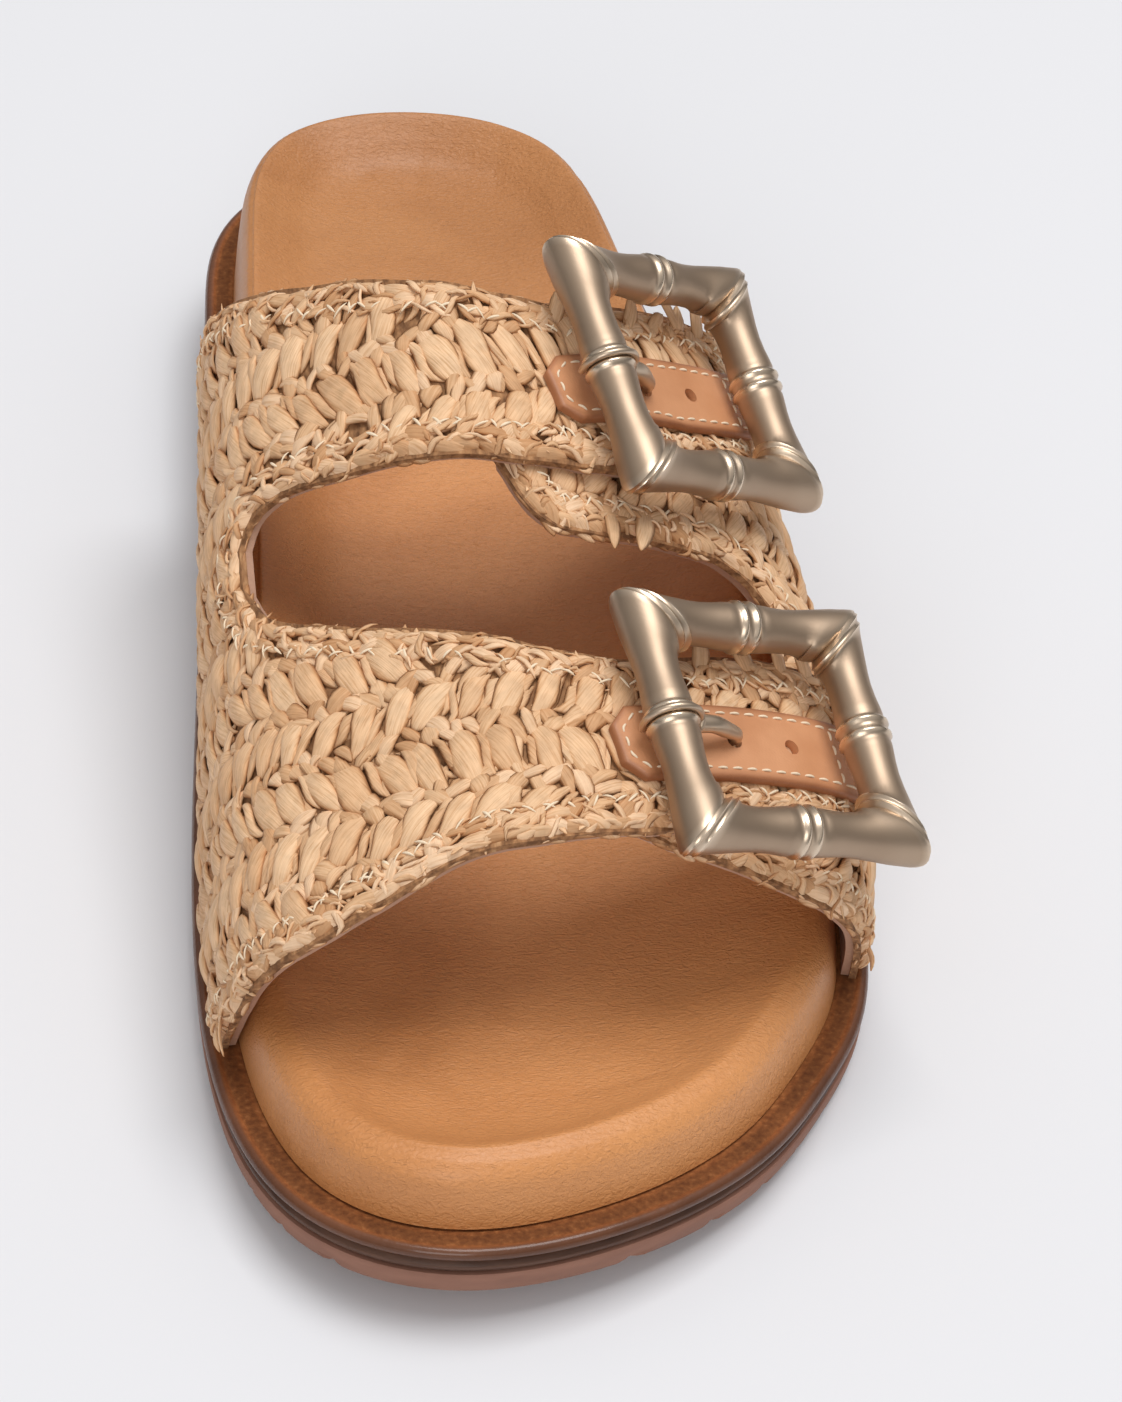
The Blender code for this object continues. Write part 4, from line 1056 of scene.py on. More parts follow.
def leaf_shape(sections, tops):
    """Closed leaf of unit size: shares along and across it, its height, and its faces."""
    along = np.sin(np.linspace(-1.0, 1.0, sections) * math.pi / 2.0)
    across = np.linspace(-1.0, 1.0, tops)
    under = across[-2:0:-2]
    ring_across = np.concatenate([across, under])
    ring_height = np.concatenate([np.sqrt(1.0 - across ** 2), np.full(len(under), -0.35)])
    sides = len(ring_across)
    shape = {
        "along": np.repeat(along, sides),
        "across": np.tile(ring_across, sections),
        "height": np.tile(ring_height, sections),
        "top": np.tile(np.arange(sides) < tops, sections),
    }
    return shape, capped_faces(sections, sides)


BROAD_LEAF = leaf_shape(11, 9)
SLIM_LEAF = leaf_shape(9, 5)


# Units of the measures that aren't in metres, radians or shares
LEAF_UNITS = dict.fromkeys(("length", "width", "thickness", "lift", "arch", "bend", "curl", "rise", "tilt",
                            "ridge"), MM)
LEAF_UNITS["slant"] = math.radians(1.0)


def between(low, high, count):
    """Random numbers from low to high."""
    return low + (high - low) * RANDOM.random(count)


def spread(count, amount):
    """Random steps either side of nothing."""
    return between(-amount, amount, count)


def about(middle, share):
    """Range from a share below a measure to the same share above it."""
    return middle * (1.0 - share), middle * (1.0 + share)


def leaves(count, **measures):
    """One array for each measure of the leaves, from a number, an array or a range to draw from."""
    made = dict.fromkeys(("slant", "turn", "arch", "bend", "curl", "rise", "tilt", "ridge", "taper"), 0.0)
    made.update(inset=np.nan, inward=1.0)
    for name, value in measures.items():
        if isinstance(value, tuple):
            value = between(*value, count)
        made[name] = value * LEAF_UNITS.get(name, 1.0)
    return {name: np.broadcast_to(np.asarray(value, float), (count,)).copy() for name, value in made.items()}


def join_leaves(groups):
    """One set of leaves from several."""
    return {name: np.concatenate([group[name] for group in groups]) for name in groups[0]}


def lay_leaves(name, piece, shape_and_faces, bits, finish, slot="raffia"):
    """Leaves that follow a piece's outer face, bent, twisted and tucked as their measures say."""
    shape, faces = shape_and_faces
    bits = {key: value[:, None] for key, value in bits.items()}
    along = shape["along"][None, :]
    across = shape["across"][None, :]
    width = 0.05 + 0.95 * (1.0 - np.abs(along) ** 2.3) ** 0.82
    blade = np.clip(1.0 - (along + 1.0) / 2.0, 0.04, 1.0) ** 0.7
    width = width * (1.0 - bits["taper"]) + blade * bits["taper"]
    length_way = bits["length"] / 2.0 * along
    side_way = bits["width"] / 2.0 * width * across + bits["bend"] * (1.0 - along ** 2)
    side_way = side_way + bits["curl"] * np.sin(math.pi * along)
    ahead = length_way * np.cos(bits["slant"]) - side_way * np.sin(bits["slant"])
    aside = length_way * np.sin(bits["slant"]) + side_way * np.cos(bits["slant"])
    height = bits["lift"] + bits["arch"] * np.cos(math.pi / 2.0 * along)
    height = height + bits["thickness"] * np.sqrt(width) * shape["height"][None, :]
    height = height + bits["tilt"] * across * width + bits["rise"] * ((along + 1.0) / 2.0) ** 1.6
    height = height + bits["ridge"] * np.cos(4.0 * math.pi * across + bits["seed"]) * shape["top"] * width
    depth = bits["inset"] + bits["inward"] * aside
    drop = EDGE_DROP * (1.0 - smooth_step(depth / EDGE_ROUND)) * (bits["rise"] == 0.0)
    height = height - np.where(np.isnan(depth), 0.0, drop)
    round_way = (ahead * np.cos(bits["turn"]) - aside * np.sin(bits["turn"])) * GIRTH / girth_at(bits["y"])
    along_way = bits["y"] + ahead * np.sin(bits["turn"]) + aside * np.cos(bits["turn"])
    shares = (bits["x"] + round_way) / GIRTH
    points = on_upper(shares, along_way, piece_lift(piece, shares) + height)
    points[..., 2] = np.maximum(points[..., 2], seat_height(points[..., 1]))
    count, size = shares.shape
    block = np.array([face for face in faces if len(face) == 4])
    offsets = np.arange(count)[:, None, None] * size
    all_faces = (block[None] + offsets).reshape(-1, 4).tolist()
    for cap in faces:
        if len(cap) > 4:
            all_faces += (np.array(cap)[None] + offsets[:, 0]).tolist()
    thing = add_piece(name, points.reshape(-1, 3), all_faces, finish, slot=slot)
    grain = [np.broadcast_to(way, shares.shape) for way in (length_way, side_way, 0.01 * bits["seed"])]
    # edge grows towards a leaf's rim; the straw finishes paint shade along it.
    edge = np.maximum(np.abs(across), np.abs(along) ** 3)
    add_values(thing, "grain", np.stack(grain, axis=-1).reshape(-1, 3))
    for value_name, values in (("tint", bits["tint"]), ("edge", edge)):
        add_values(thing, value_name, np.broadcast_to(values, shares.shape).reshape(-1))


def row_places(guide, row, shift, step):
    """Flat places at a step along a row of the plait, at a shift from its middle towards the heel."""
    piece = guide["piece"]
    ends = (piece["base"], piece["front_end"], piece["rear_end"])
    middle = (np.mean(guide["along"]) + row * ROW_PITCH / LENGTH) * LENGTH
    rounds = np.arange(min(ends), max(ends), step / girth_at(middle)) + RANDOM.uniform(0.0, step / GIRTH)
    line = np.interp(rounds, guide["round"], guide["along"]) * LENGTH
    return rounds * GIRTH, line + row * ROW_PITCH + shift


def keep_leaves(bits, mask):
    return {name: value[mask] for name, value in bits.items()}


def lies_open(piece, bits, margin):
    """Which leaves lie inside a piece's edges, and aren't covered by the straps over the quarter."""
    places = np.column_stack([bits["x"], bits["y"]])
    kept = distance_inside(RIMS[piece["name"]], places) > margin
    if piece is QUARTER:
        kept &= distance_inside(RIMS["strap"], places) < 3.0 * MM
    base_gap = np.abs(bits["x"] - piece["base"] * GIRTH)
    return kept & (base_gap > 1.5 * MM)


def lies_in_part(guide, bits):
    """Which leaves belong to a guide's strap, below the window where the two straps join."""
    if guide["piece"] is QUARTER:
        return np.ones(len(bits["y"]), bool)
    behind = bits["y"] > STRAPS_PART * LENGTH
    return behind if guide["name"] == "rear_strap" else ~behind


def row_leaves(guide):
    """Broad leaves of a herringbone, and the narrow folded ones beside and under them, row by row."""
    broad = []
    narrow = []
    for row in range(*guide["rows"]):
        kind = RISING_LEAF if (row % 2 == 0) == guide["rises"] else FALLING_LEAF
        length = kind["length"]
        slant = kind["slant"]
        sign = math.copysign(1.0, slant)
        x, y = row_places(guide, row, 0.0, LEAF_PITCH)
        count = len(x)
        broad.append(leaves(
            count, x=x + spread(count, 0.5 * MM), y=y + spread(count, 0.7 * MM),
            slant=(slant - 9.0, slant + 9.0), length=about(length, 0.13), width=about(LEAF_WIDTH, 0.2),
            thickness=about(LEAF_THICKNESS, 0.15), arch=about(LEAF_ARCH, 0.15), curl=about(sign * 0.45, 0.7),
            bend=(-0.45, 0.45), tilt=about(0.22, 0.8), ridge=(0.0, 0.07), lift=-0.98, seed=SEEDS,
            tint=(0.2, 1.0)))
        for layer in NARROW_LEAVES:
            narrow.append(leaves(
                count, x=x + layer["shift"] * LEAF_PITCH + spread(count, 0.6 * MM),
                y=y + spread(count, 1.2 * MM), slant=(slant - 14.0, slant + 14.0),
                length=(0.6 * length, length), width=(1.3, 2.5), thickness=0.5, arch=(0.45, 0.85),
                curl=(0.2 * sign, sign), bend=(-0.7, 0.7), tilt=(-0.25, 0.25), lift=layer["lift"],
                seed=SEEDS, tint=(0.0, layer["brightest"])))
    return join_leaves(broad), join_leaves(narrow)


def seam_leaves(guide):
    """Short crumpled leaves in the seams between the rows."""
    groups = []
    for row in range(*guide["rows"]):
        for shift, step in ((-0.06, 2.9), (0.05, 3.3)):
            x, y = row_places(guide, row, (0.5 + shift) * ROW_PITCH, step * MM)
            count = len(x)
            lean = np.sign(spread(count, 1.0)) * between(25.0, 80.0, count)
            groups.append(leaves(
                count, x=x + spread(count, 0.8 * MM), y=y + spread(count, 1.0 * MM), slant=lean,
                length=(3.8, 7.4), width=(1.8, 3.4), thickness=0.38, arch=(0.45, 0.85), bend=(-0.6, 0.6),
                curl=(-0.4, 0.4), tilt=(-0.35, 0.35), lift=-0.85, seed=SEEDS, tint=(0.1, 0.9)))
    return join_leaves(groups)


def make_herringbone(finish, crumpled_finish):
    """The plait: broad leaves in rows, narrow ones between them and crumpled ones in the seams."""
    for guide in ROW_GUIDES:
        piece = guide["piece"]
        broad, narrow = row_leaves(guide)
        layers = (("leaves", BROAD_LEAF, broad, BAND_WIDTH - 1.2 * MM, finish),
                  ("narrow_leaves", SLIM_LEAF, narrow, BAND_WIDTH - 2.0 * MM, finish),
                  ("seam_leaves", SLIM_LEAF, seam_leaves(guide), BAND_WIDTH - 2.4 * MM, crumpled_finish))
        for name, shape, bits, margin, shade in layers:
            bits = keep_leaves(bits, lies_open(piece, bits, margin) & lies_in_part(guide, bits))
            lay_leaves(guide["name"] + "_" + name, piece, shape, bits, shade)


def rim_places(piece, step, start=0.0, jitter=0.3):
    """Places along a piece's rim: flat points, directions, inward directions and which side is in."""
    rim = RIMS[piece["name"]]
    total = (len(rim) - 1) * RIM_STEP
    marks = np.arange(start, total, step)
    marks = np.clip(marks + spread(len(marks), jitter * step), 0.0, total)
    index = marks / RIM_STEP
    numbers = np.arange(len(rim))
    points, ahead, behind = [line_points(rim, numbers, index + reach) for reach in (0, 2, -2)]
    turn = np.arctan2(ahead[:, 1] - behind[:, 1], ahead[:, 0] - behind[:, 0])
    side = rim_turn(rim)
    inward = side * np.column_stack([-np.sin(turn), np.cos(turn)])
    return points, turn, inward, side


def rim_leaves(piece, step, inset, start=0.0, **measures):
    """Leaves along a piece's rim: step, inset and start in millimetres, the other measures as in leaves."""
    points, turn, inward, side = rim_places(piece, step * MM, start * MM)
    count = len(points)
    insets = inset * MM + spread(count, 0.35 * MM)
    places = points + inward * insets[:, None]
    return leaves(count, x=places[:, 0], y=places[:, 1], turn=turn, inset=insets, inward=side, **measures,
                  seed=SEEDS, tint=(0.0, 1.0))


def make_edge_bands(finish, thread_finish):
    """Crinkled braid along the rims, with the pale zigzag thread that holds it."""
    for piece in (STRAP, QUARTER):
        braid = [
            rim_leaves(piece, 3.0, 1.5, slant=(-34.0, 10.0), length=(4.6, 7.6), width=(2.2, 3.4),
                       thickness=0.6, arch=0.5, lift=-0.75, bend=(-0.4, 0.4), tilt=(-0.4, 0.4),
                       ridge=(0.0, 0.12)),
            rim_leaves(piece, 3.2, 3.9, 1.3, slant=(-18.0, 78.0), length=(4.0, 6.8), width=(2.0, 3.4),
                       thickness=0.6, arch=0.75, lift=-0.85, bend=(-0.6, 0.6), tilt=(-0.4, 0.4),
                       ridge=(0.0, 0.1)),
        ]
        curls = [
            rim_leaves(piece, step, inset, slant=(-68.755, 68.755), length=(2.6, 5.6), width=(0.5, 1.3),
                       thickness=0.34, arch=(0.2, 0.8), lift=-0.2, bend=(-1.1, 1.1), curl=(-0.6, 0.6))
            for inset, step in ((1.3, 3.2), (3.0, 3.0), (4.8, 1.9))
        ]
        stitches = [
            rim_leaves(piece, 3.0, 4.9, start, slant=slant, length=(1.8, 3.0), width=(0.28, 0.5),
                       thickness=0.18, arch=0.4, lift=0.2)
            for slant, start in (((22.918, 63.025), 0.0), ((-63.025, -22.918), 1.5))
        ]
        stitches = join_leaves(stitches)
        stitches = keep_leaves(stitches, between(0.0, 1.0, len(stitches["x"])) > MISSED_STITCHES)
        layers = (("edge_braid", BROAD_LEAF, join_leaves(braid), finish, "raffia"),
                  ("edge_curls", SLIM_LEAF, join_leaves(curls), finish, "raffia"),
                  ("zigzag_thread", SLIM_LEAF, stitches, thread_finish, None))
        for name, shape, bits, shade, slot in layers:
            bits = keep_leaves(bits, lies_open(piece, bits, -1.0 * MM))
            lay_leaves(piece["name"] + "_" + name, piece, shape, bits, shade, slot=slot)


def hand_ends(piece):
    """Leaves of the table of loose ends that belong to a piece."""
    rows = LOOSE_ENDS[piece["name"]]
    column = {name: np.array([row[name] for row in rows]) for name in rows[0]}
    half = 0.5 * column["length"] * MM
    turn = np.radians(column["turn"])
    return leaves(
        len(rows), x=column["round"] * GIRTH + half * np.cos(turn),
        y=column["along"] * LENGTH + half * np.sin(turn), turn=turn, length=column["length"],
        width=column["width"], thickness=0.4, arch=0.7, lift=-0.5, rise=column["rise"], bend=(-0.6, 0.6),
        tilt=(-0.4, 0.4), taper=0.4, seed=SEEDS, tint=(0.4, 1.0))


def make_frays(finish):
    """Loose ends that stand out of the rims, and the larger ones listed one by one."""
    for piece in (STRAP, QUARTER):
        outward = -rim_turn(RIMS[piece["name"]])
        bits = rim_leaves(piece, 9.0, 1.8, slant=(outward * 11.459, outward * 166.158), length=(2.4, 5.0),
                          width=(0.7, 2.0), thickness=0.22, lift=-0.4, rise=(0.1, 0.9), bend=(-0.6, 0.6),
                          taper=0.6)
        bits = keep_leaves(bits, lies_open(piece, bits, -1.5 * MM))
        lay_leaves(piece["name"] + "_frays", piece, SLIM_LEAF, join_leaves([bits, hand_ends(piece)]), finish)


# Buckles, prongs and tabs

def strap_place(seat, forward, aside):
    """Share round and place along, distances along a strap and aside from a buckle's middle."""
    share = seat["round"]
    along = seat["along"] * LENGTH
    step = 0.002
    shares = np.array([share + step, share - step, share, share])
    places = np.array([along, along, along + 0.2 * MM, along - 0.2 * MM])
    right, left, heel, toe = on_upper(shares, places, np.zeros(4))
    per_share = (right - left) / (2.0 * step)
    per_metre = (heel - toe) / (0.4 * MM)
    across_axis = unit(per_share)
    normal = unit(np.cross(per_share, per_metre))
    heel_axis = np.cross(normal, across_axis)
    turn = math.radians(seat["turn"])
    strap_axis = math.cos(turn) * across_axis + math.sin(turn) * heel_axis
    side_axis = math.cos(turn) * heel_axis - math.sin(turn) * across_axis
    wanted = np.multiply.outer(forward, strap_axis) + np.multiply.outer(aside, side_axis)
    solve = np.linalg.pinv(np.column_stack([per_share, per_metre]))
    steps = wanted @ solve.T
    return share + steps[..., 0], along + steps[..., 1]


def strap_points(seat, forward, aside, lift):
    """Points above a strap's outer face, at distances along and aside from a buckle's middle."""
    forward, aside, lift = np.broadcast_arrays(*[np.asarray(part, float) for part in (forward, aside, lift)])
    share, along = strap_place(seat, forward, aside)
    return on_upper(share, along, strap_lift(share) + lift)


def buckle_axes(seat):
    """Middle and axes of a buckle's frame, which lies on the strap as a flat square."""
    half_length = BUCKLE_LENGTH / 2.0
    ends = strap_points(seat, [-half_length, half_length], 0.0, 0.0)
    flanks = strap_points(seat, 0.0, [-BUCKLE_WIDTH / 2.0, BUCKLE_WIDTH / 2.0], 0.0)
    strap_axis = unit(ends[1] - ends[0])
    normal = unit(np.cross(strap_axis, flanks[1] - flanks[0]))
    side_axis = np.cross(normal, strap_axis)
    outward = math.tan(math.radians(seat["lean"])) * strap_axis
    toeward = -math.tan(math.radians(seat["tip"])) * side_axis
    normal = unit(normal + outward + toeward)
    side_axis = unit(np.cross(normal, strap_axis))
    strap_axis = np.cross(side_axis, normal)
    top = strap_points(seat, 0.0, 0.0, 0.0)
    inner_bar = strap_points(seat, -half_length, 0.0, FIT_GAP + TAB_THICKNESS)
    under = [inner_bar, ends[1], flanks[0], flanks[1]]
    ride = max(float(np.dot(point - top, normal)) for point in under)
    return top + normal * (ride + NODE_RADIUS + FIT_GAP), strap_axis, side_axis, normal


# Half of a bar from its mitred corner to its middle: distance and radius in millimetres, and polish.
# At each corner one bar starts with ridges, and the other is cut plain to meet them.
BAR_RIDGES = [(0.0, 4.05, 0.3), (0.5, 4.15, 0.6), (0.95, 4.42, 1.0), (1.4, 4.15, 0.5), (1.8, 4.12, 0.5),
              (2.25, 4.40, 1.0), (2.7, 4.12, 0.5)]
BAR_CUT = [(0.0, 4.05, 0.8), (0.6, 4.12, 0.4), (1.4, 4.08, 0.1)]
BAR_BODY = [(3.4, 3.92, 0.1), (5.0, 3.60, 0.0), (7.0, 3.32, 0.0), (9.0, 3.22, 0.0), (11.0, 3.30, 0.0),
            (12.8, 3.50, 0.0), (13.9, 3.58, 0.1), (14.4, 3.42, 0.2), (14.75, 3.62, 0.6), (15.15, 3.98, 1.0),
            (15.55, 3.98, 1.0), (15.9, 3.62, 0.5)]
# Bars of other lengths are stretched or shortened up to this place
BAR_STRETCH_END = BAR_BODY[6][0] * MM
MITRE_REACH = 7.0 * MM
# Whether the first and the last end of each bar have ridges
RIDGED_ENDS = [(True, False), (True, True), (False, True), (False, False)]


def bar_rows(length, ridged):
    """Distances, radii and polish along a whole bar, with ridges at the ends that have them."""
    half = BAR_BODY[-1][0] * MM
    spare = (length / 2.0 - half - 0.45 * MM) / BAR_STRETCH_END
    rows = []
    for end, has_ridges in enumerate(ridged):
        profile = (BAR_RIDGES if has_ridges else BAR_CUT) + BAR_BODY
        side = []
        for place, radius, polish in profile:
            along = place * MM + spare * min(place * MM, BAR_STRETCH_END)
            side.append((along if end == 0 else length - along, radius * MM, polish))
        rows.append(side)
    middle = [(length / 2.0, 3.60 * MM, 0.4)]
    return rows[0] + middle + rows[1][::-1]


def make_buckle(name, seat, finish):
    """Square frame of four bamboo-form bars with ringed nodes and ridged, mitred corners."""
    middle, strap_axis, side_axis, normal = buckle_axes(seat)
    corners = [(-0.5, 0.5), (0.5, 0.5), (0.5, -0.5), (-0.5, -0.5)]
    sides = 32
    angles = np.linspace(0.0, 2.0 * math.pi, sides, endpoint=False)[:, None]
    parts = []
    polish_values = []
    places = []
    for number, corner in enumerate(corners):
        after = corners[(number + 1) % 4]
        start = middle + corner[0] * BUCKLE_LENGTH * strap_axis + corner[1] * BUCKLE_WIDTH * side_axis
        end = middle + after[0] * BUCKLE_LENGTH * strap_axis + after[1] * BUCKLE_WIDTH * side_axis
        length = np.linalg.norm(end - start)
        direction = (end - start) / length
        outward = (corner[0] + after[0]) * strap_axis + (corner[1] + after[1]) * side_axis
        rings = []
        for along, radius, polish in bar_rows(length, RIDGED_ENDS[number]):
            reach = radius * np.cos(angles)
            lean_start = 1.0 - smooth_step((along / MITRE_REACH - 0.25) / 0.75)
            lean_end = 1.0 - smooth_step(((length - along) / MITRE_REACH - 0.25) / 0.75)
            shift = reach * (lean_end - lean_start)
            rise = radius * np.sin(angles) * normal
            rings.append(start + direction * (along + shift) + reach * outward + rise)
            polish_values += [polish] * sides
            places += [(along, number, side / sides) for side in range(sides)]
        parts.append((np.vstack(rings), capped_faces(len(rings), sides)))
    buckle = add_piece(name + "_frame", *join_parts(parts), finish, name, "buckle_metal", 60)
    add_values(buckle, "polish", polish_values)
    add_values(buckle, "grain", np.array(places) * (3.0, 0.1, 0.02))


def first_hole():
    return -BUCKLE_LENGTH / 2.0 + PRONG_REACH


def make_prong(name, seat, finish):
    """Prong: a loop over the inner bar's node with a small boss, and a tapered finger to the first hole."""
    middle, strap_axis, side_axis, normal = buckle_axes(seat)
    bar = middle - strap_axis * BUCKLE_LENGTH / 2.0
    loop_radius = 1.09 * BAR_RADIUS + 0.25 * MM
    angles = np.radians(np.arange(-24.0, 217.0, 8.0))[:, None]
    loop = bar + loop_radius * (np.cos(angles) * strap_axis + np.sin(angles) * normal)
    hook = tube(loop, [0.55 * MM] * len(loop), side_axis, 12)
    tip = strap_points(seat, first_hole(), 0.0, FIT_GAP + 0.4 * TAB_THICKNESS)
    over = strap_points(seat, first_hole() - 0.6 * MM, 0.0, FIT_GAP + TAB_THICKNESS + 0.55 * PRONG_WIRE)
    root = loop[3] + 0.2 * MM * strap_axis
    control = np.array([root, 0.65 * root + 0.35 * over + 0.35 * PRONG_WIRE * normal,
                        0.25 * root + 0.75 * over + 0.22 * PRONG_WIRE * normal,
                        over + 0.1 * MM * strap_axis, tip])
    route = spline_points(control, False, np.linspace(0.0, 1.0, 18))
    shares = np.linspace(0.0, 1.0, 18)
    radii = PRONG_WIRE / 2.0 * np.interp(shares, (0.0, 0.12, 0.5, 0.9, 1.0), (1.2, 1.12, 1.05, 0.74, 0.3))
    finger = tube(route, radii, side_axis, 16)
    boss_places = np.linspace(-1.0, 1.0, 9)
    boss_route = root + np.outer(boss_places * 0.9 * MM, strap_axis)
    boss_radii = 1.55 * MM * np.sqrt(np.clip(1.02 - boss_places ** 2, 0.02, 1.0))
    boss = tube(boss_route, boss_radii, side_axis, 16)
    vertices, faces = join_parts([hook, finger, boss])
    prong = add_piece(name + "_pin", vertices, faces, finish, name, "buckle_metal", 60)
    add_values(prong, "polish", np.full(len(vertices), 0.5))
    add_values(prong, "grain", vertices)


def make_tab(name, seat, finish, thread_finish):
    """Leather tab with rounded cut edges, a chamfered end, two punched holes and its stitches."""
    start = -BUCKLE_LENGTH / 2.0 - seat["overhang"]
    end = start + TAB_LENGTH
    chamfer = 0.24 * TAB_WIDTH
    fine = np.concatenate([[0.0, 0.12, 0.35], np.linspace(0.8, TAB_LENGTH / MM - 0.8, 56),
                           TAB_LENGTH / MM - np.array([0.35, 0.12, 0.0])]) * MM
    half = np.concatenate([[-1.0, -0.985, -0.95], np.linspace(-0.88, 0.88, 13), [0.95, 0.985, 1.0]])
    levels = np.concatenate([[0.55, 0.82, 0.96], np.ones(13), [0.96, 0.82, 0.55]])
    rings = []
    edges = []
    for distance in fine:
        width = TAB_WIDTH / 2.0 - max(0.0, chamfer - distance)
        end_gap = min(distance, TAB_LENGTH - distance)
        swell = np.interp(end_gap, (0.0, 0.12 * MM, 0.35 * MM, 0.8 * MM), (0.55, 0.82, 0.96, 1.0))
        tops = FIT_GAP + TAB_THICKNESS * np.minimum(levels, swell)
        top = strap_points(seat, start + distance, half * width, tops)
        bottom = strap_points(seat, start + distance, half[::-1] * width, FIT_GAP)
        rings.append(np.vstack([top, bottom]))
        near_edge = np.minimum((1.0 - np.abs(half)) * width, end_gap)
        shade = 1.0 - smooth_step((near_edge - 0.45 * MM) / (0.6 * MM))
        edges += list(shade) + [1.0] * len(half)
    faces = capped_faces(len(rings), 2 * len(half))
    tab = add_piece(name + "_strip", np.vstack(rings), faces, finish, name, "tab_leather", 50)
    add_values(tab, "edge", edges)
    cutters = []
    reach = [FIT_GAP - TAB_THICKNESS, FIT_GAP + 2.0 * TAB_THICKNESS]
    for forward in (first_hole(), first_hole() + HOLE_SPACING):
        ends = strap_points(seat, forward, 0.0, reach)
        points, hole_faces = tube(ends, [HOLE_DIAMETER / 2.0] * 2, buckle_axes(seat)[2], 32)
        mesh = bpy.data.meshes.new("hole")
        mesh.from_pydata(points.tolist(), [], hole_faces)
        cutters.append(add_object("hole", mesh))
    cut_away(tab, cutters)
    make_tab_stitches(name, seat, start, end, chamfer, thread_finish)


def make_tab_stitches(name, seat, start, end, chamfer, finish):
    """Thread along both sides of a tab, round its chamfered end and twice across its outer end."""
    inset = 1.5 * MM
    side = TAB_WIDTH / 2.0 - inset
    cut = chamfer * 0.8
    inner = end - 4.6 * MM
    loop = [(inner, side), (start + inset + cut, side), (start + inset, side - cut),
            (start + inset, -(side - cut)), (start + inset + cut, -side), (inner, -side)]
    runs = [loop, [(end - inset, side), (end - inset, -side)],
            [(inner + 0.2 * MM, -side), (inner + 0.2 * MM, side)],
            [(inner, side), (end - inset, side)], [(inner, -side), (end - inset, -side)]]
    parts = []
    for run in runs:
        run = np.array(run)
        marks = line_marks(run)
        count = max(1, round(marks[-1] / (2.5 * MM)))
        pitch = marks[-1] / count
        for number in range(count):
            places = (number + np.linspace(0.12, 0.86, 7)) * pitch
            forward, aside = line_points(run, marks, places).T
            aside = aside + spread(1, 0.08 * MM)
            arch = np.array([-0.2, 0.03, 0.11, 0.14, 0.11, 0.03, -0.2]) * MM
            route = strap_points(seat, forward, aside, FIT_GAP + TAB_THICKNESS + arch)
            radii = np.array([0.10, 0.16, 0.19, 0.20, 0.19, 0.16, 0.10]) * MM
            up = np.cross(route[-1] - route[0], route[3] - (route[0] + route[-1]) / 2.0)
            parts.append(tube(route, radii, unit(up), 8))
    add_piece(name + "_stitches", *join_parts(parts), finish)


# Scene

def make_floor():
    """Plain pale floor."""
    mesh = bpy.data.meshes.new("floor")
    size = 6.0
    mesh.from_pydata([(-size, -size, 0.0), (size, -size, 0.0), (size, size, 0.0), (-size, size, 0.0)], [],
                     [(0, 1, 2, 3)])
    mesh.materials.append(make_finish("floor_paper", (0.765, 0.77, 0.795), 0.9, Specular_IOR_Level=0.1))
    add_object("floor", mesh)


def add_light(name, place, target, size, energy):
    """Soft square light that faces a target."""
    lamp = bpy.data.lights.new(name, "AREA")
    lamp.size = size
    lamp.energy = energy
    light = add_object(name, lamp)
    light.location = place
    light.rotation_euler = (Vector(target) - Vector(place)).to_track_quat("-Z", "Y").to_euler()


def make_lights():
    """Overhead softbox, a low fill from the front left, and a surround that is pale above and dim below."""
    middle = (0.0, 0.0, 0.03)
    add_light("softbox", (0.35, 0.15, 1.9), middle, 1.1, 24.0)
    add_light("front_fill", (-0.3, -1.6, 0.9), middle, 0.8, 8.0)
    world = bpy.data.worlds.new("studio")
    world.use_nodes = True
    nodes = world.node_tree.nodes
    links = world.node_tree.links
    direction = nodes.new("ShaderNodeTexCoord")
    split = nodes.new("ShaderNodeSeparateXYZ")
    shade = nodes.new("ShaderNodeValToRGB")
    shade.color_ramp.elements[0].position = 0.12
    shade.color_ramp.elements[0].color = (0.24, 0.235, 0.23, 1.0)
    shade.color_ramp.elements[1].position = 0.62
    shade.color_ramp.elements[1].color = (1.0, 0.985, 0.98, 1.0)
    links.new(direction.outputs["Generated"], split.inputs["Vector"])
    links.new(split.outputs["Z"], shade.inputs["Fac"])
    backdrop = nodes["Background"]
    links.new(shade.outputs["Color"], backdrop.inputs["Color"])
    backdrop.inputs["Strength"].default_value = 0.5
    bpy.context.scene.world = world


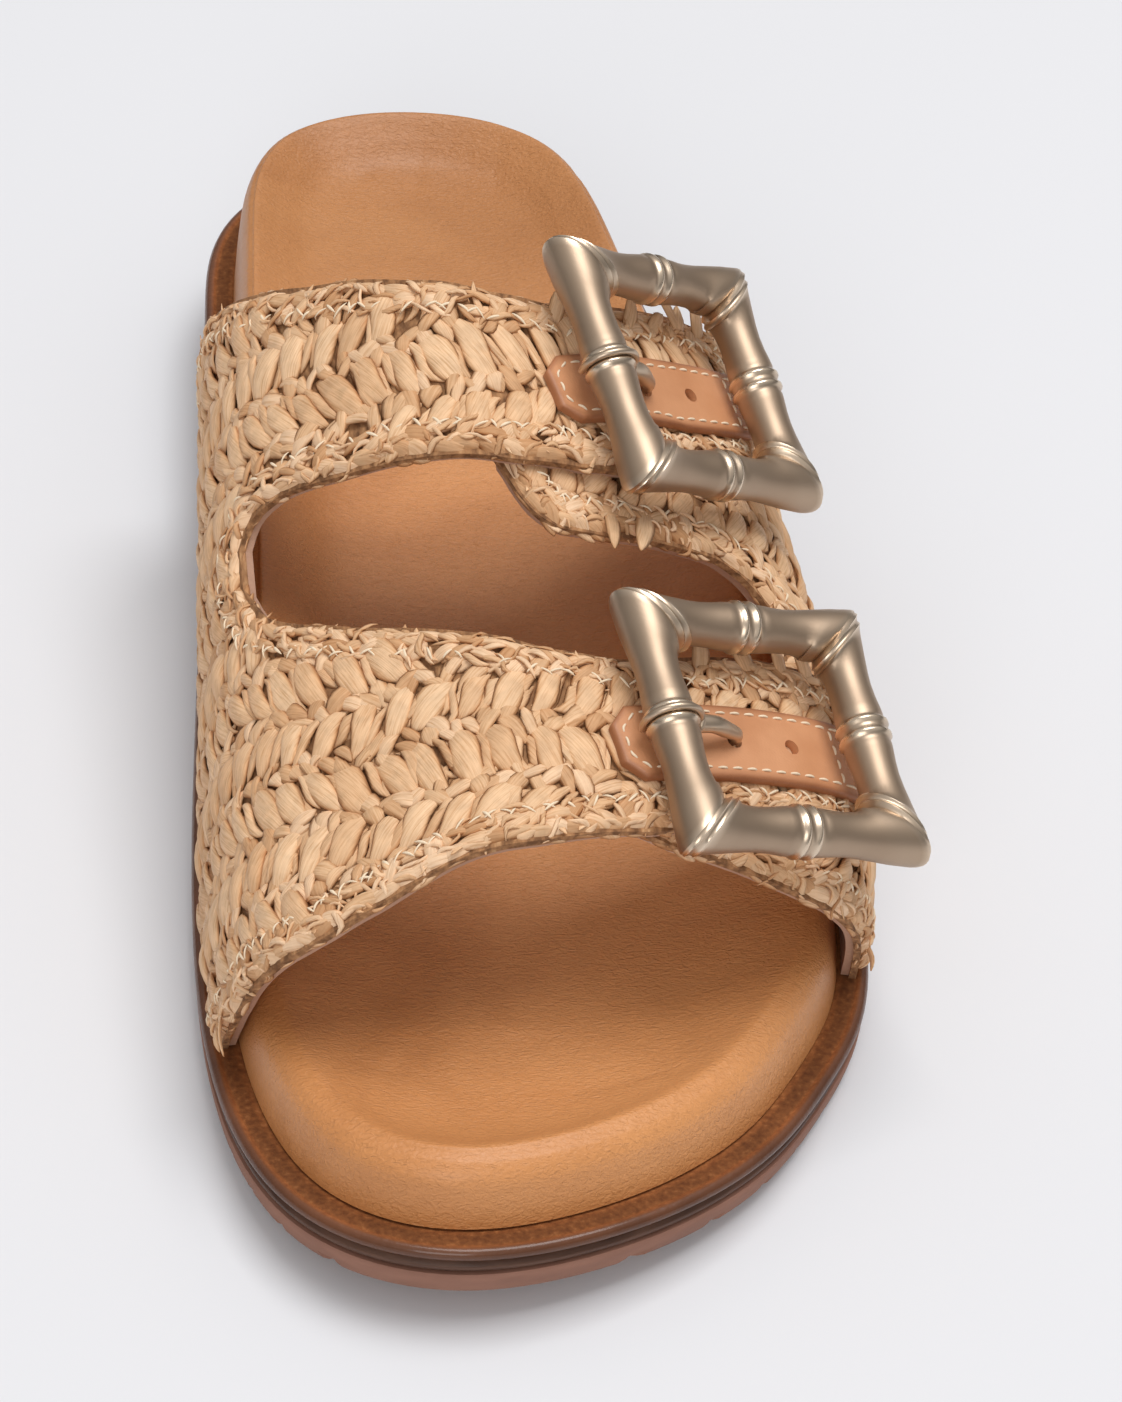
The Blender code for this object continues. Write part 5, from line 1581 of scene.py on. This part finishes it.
def make_camera():
    """The photograph's camera, turned to the one shoe with the least roll and framed closer."""
    lens = bpy.data.cameras.new("photo_camera")
    lens.sensor_width = SENSOR
    lens.clip_start = 0.01
    camera = add_object("photo_camera", lens)
    camera.location = PHOTO_CAMERA
    camera.rotation_mode = "QUATERNION"
    pitch = math.radians(PHOTO_PITCH)
    forward = Vector((0.0, math.cos(pitch), -math.sin(pitch)))
    level = Euler((math.pi / 2.0 - pitch, 0.0, 0.0)).to_quaternion()
    points = np.array([vertex.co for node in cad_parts.values() for vertex in node.data.vertices])
    rays = points - np.array(PHOTO_CAMERA)
    aim = Vector(rays.mean(axis=0))
    for _ in range(4):
        turn = forward.rotation_difference(aim) @ level
        seen = rays @ np.array(turn.to_matrix())
        flat = seen[:, :2] / -seen[:, 2:]
        low = flat.min(axis=0)
        high = flat.max(axis=0)
        middle = (low + high) / 2.0
        aim = turn @ Vector((middle[0], middle[1], -1.0))
    camera.rotation_quaternion = forward.rotation_difference(aim) @ level
    long_side = max(PICTURE_SIZE)
    fits = [SENSOR * side / long_side * FILLED / reach for side, reach in zip(PICTURE_SIZE, high - low)]
    lens.lens = min(fits)
    bpy.context.scene.camera = camera


def main():
    bpy.context.scene.view_settings.view_transform = "Standard"
    make_floor()
    make_lights()
    make_camera()
    make_outsole(band_finish("outsole_pink_brown", (0.34, 0.170, 0.118), (0.27, 0.128, 0.086), 0.68, 4.0,
                             0.03 * MM))
    make_midsole(band_finish("midsole_dark", (0.14, 0.068, 0.042), (0.075, 0.034, 0.021), 0.42, 9.0,
                             0.04 * MM))
    make_welt(welt_finish())
    # heel=0.80 is painted shade: the footbed's colour darkens by a fifth towards the heel.
    make_footbed(leather_finish("footbed_caramel", (0.71, 0.315, 0.112), (0.635, 0.268, 0.090),
                                (0.54, 0.215, 0.066), 0.46, 0.05 * MM, 0.27 * MM, coat=0.30, heel=0.80))
    lining = leather_finish("strap_lining", (0.57, 0.36, 0.25), (0.48, 0.28, 0.19), (0.38, 0.20, 0.13), 0.7,
                            0.05 * MM, 0.08 * MM)
    ground = ground_finish()
    straw = raffia_finish("raffia_straw", (0.885, 0.60, 0.365), (0.81, 0.52, 0.30), (0.70, 0.42, 0.225),
                          0.11 * MM)
    crinkled = raffia_finish("raffia_crinkled", (0.91, 0.64, 0.42), (0.78, 0.495, 0.28),
                             (0.59, 0.315, 0.148), 0.10 * MM)
    thread = make_finish("thread_cream", (0.90, 0.74, 0.54), 0.8, Specular_IOR_Level=0.15)
    for piece in (STRAP, QUARTER):
        make_layer(piece["name"] + "_lining", piece, -WALL, -WALL + LINING, 0.6 * MM, lining)
        make_layer(piece["name"] + "_ground", piece, -WALL + LINING + 0.02 * MM, -GROUND_DEPTH, 0.0, ground,
                   piece["node"], "raffia")
    make_herringbone(straw, crinkled)
    make_edge_bands(crinkled, thread)
    make_frays(straw)
    gold = metal_finish("champagne_gold", (0.425, 0.315, 0.225), (0.72, 0.585, 0.445), 0.48)
    tan = tab_finish()
    for place, seat in BUCKLES.items():
        make_tab("tab_" + place, seat, tan, thread)
        make_buckle("buckle_" + place, seat, gold)
        make_prong("prong_" + place, seat, gold)


main()
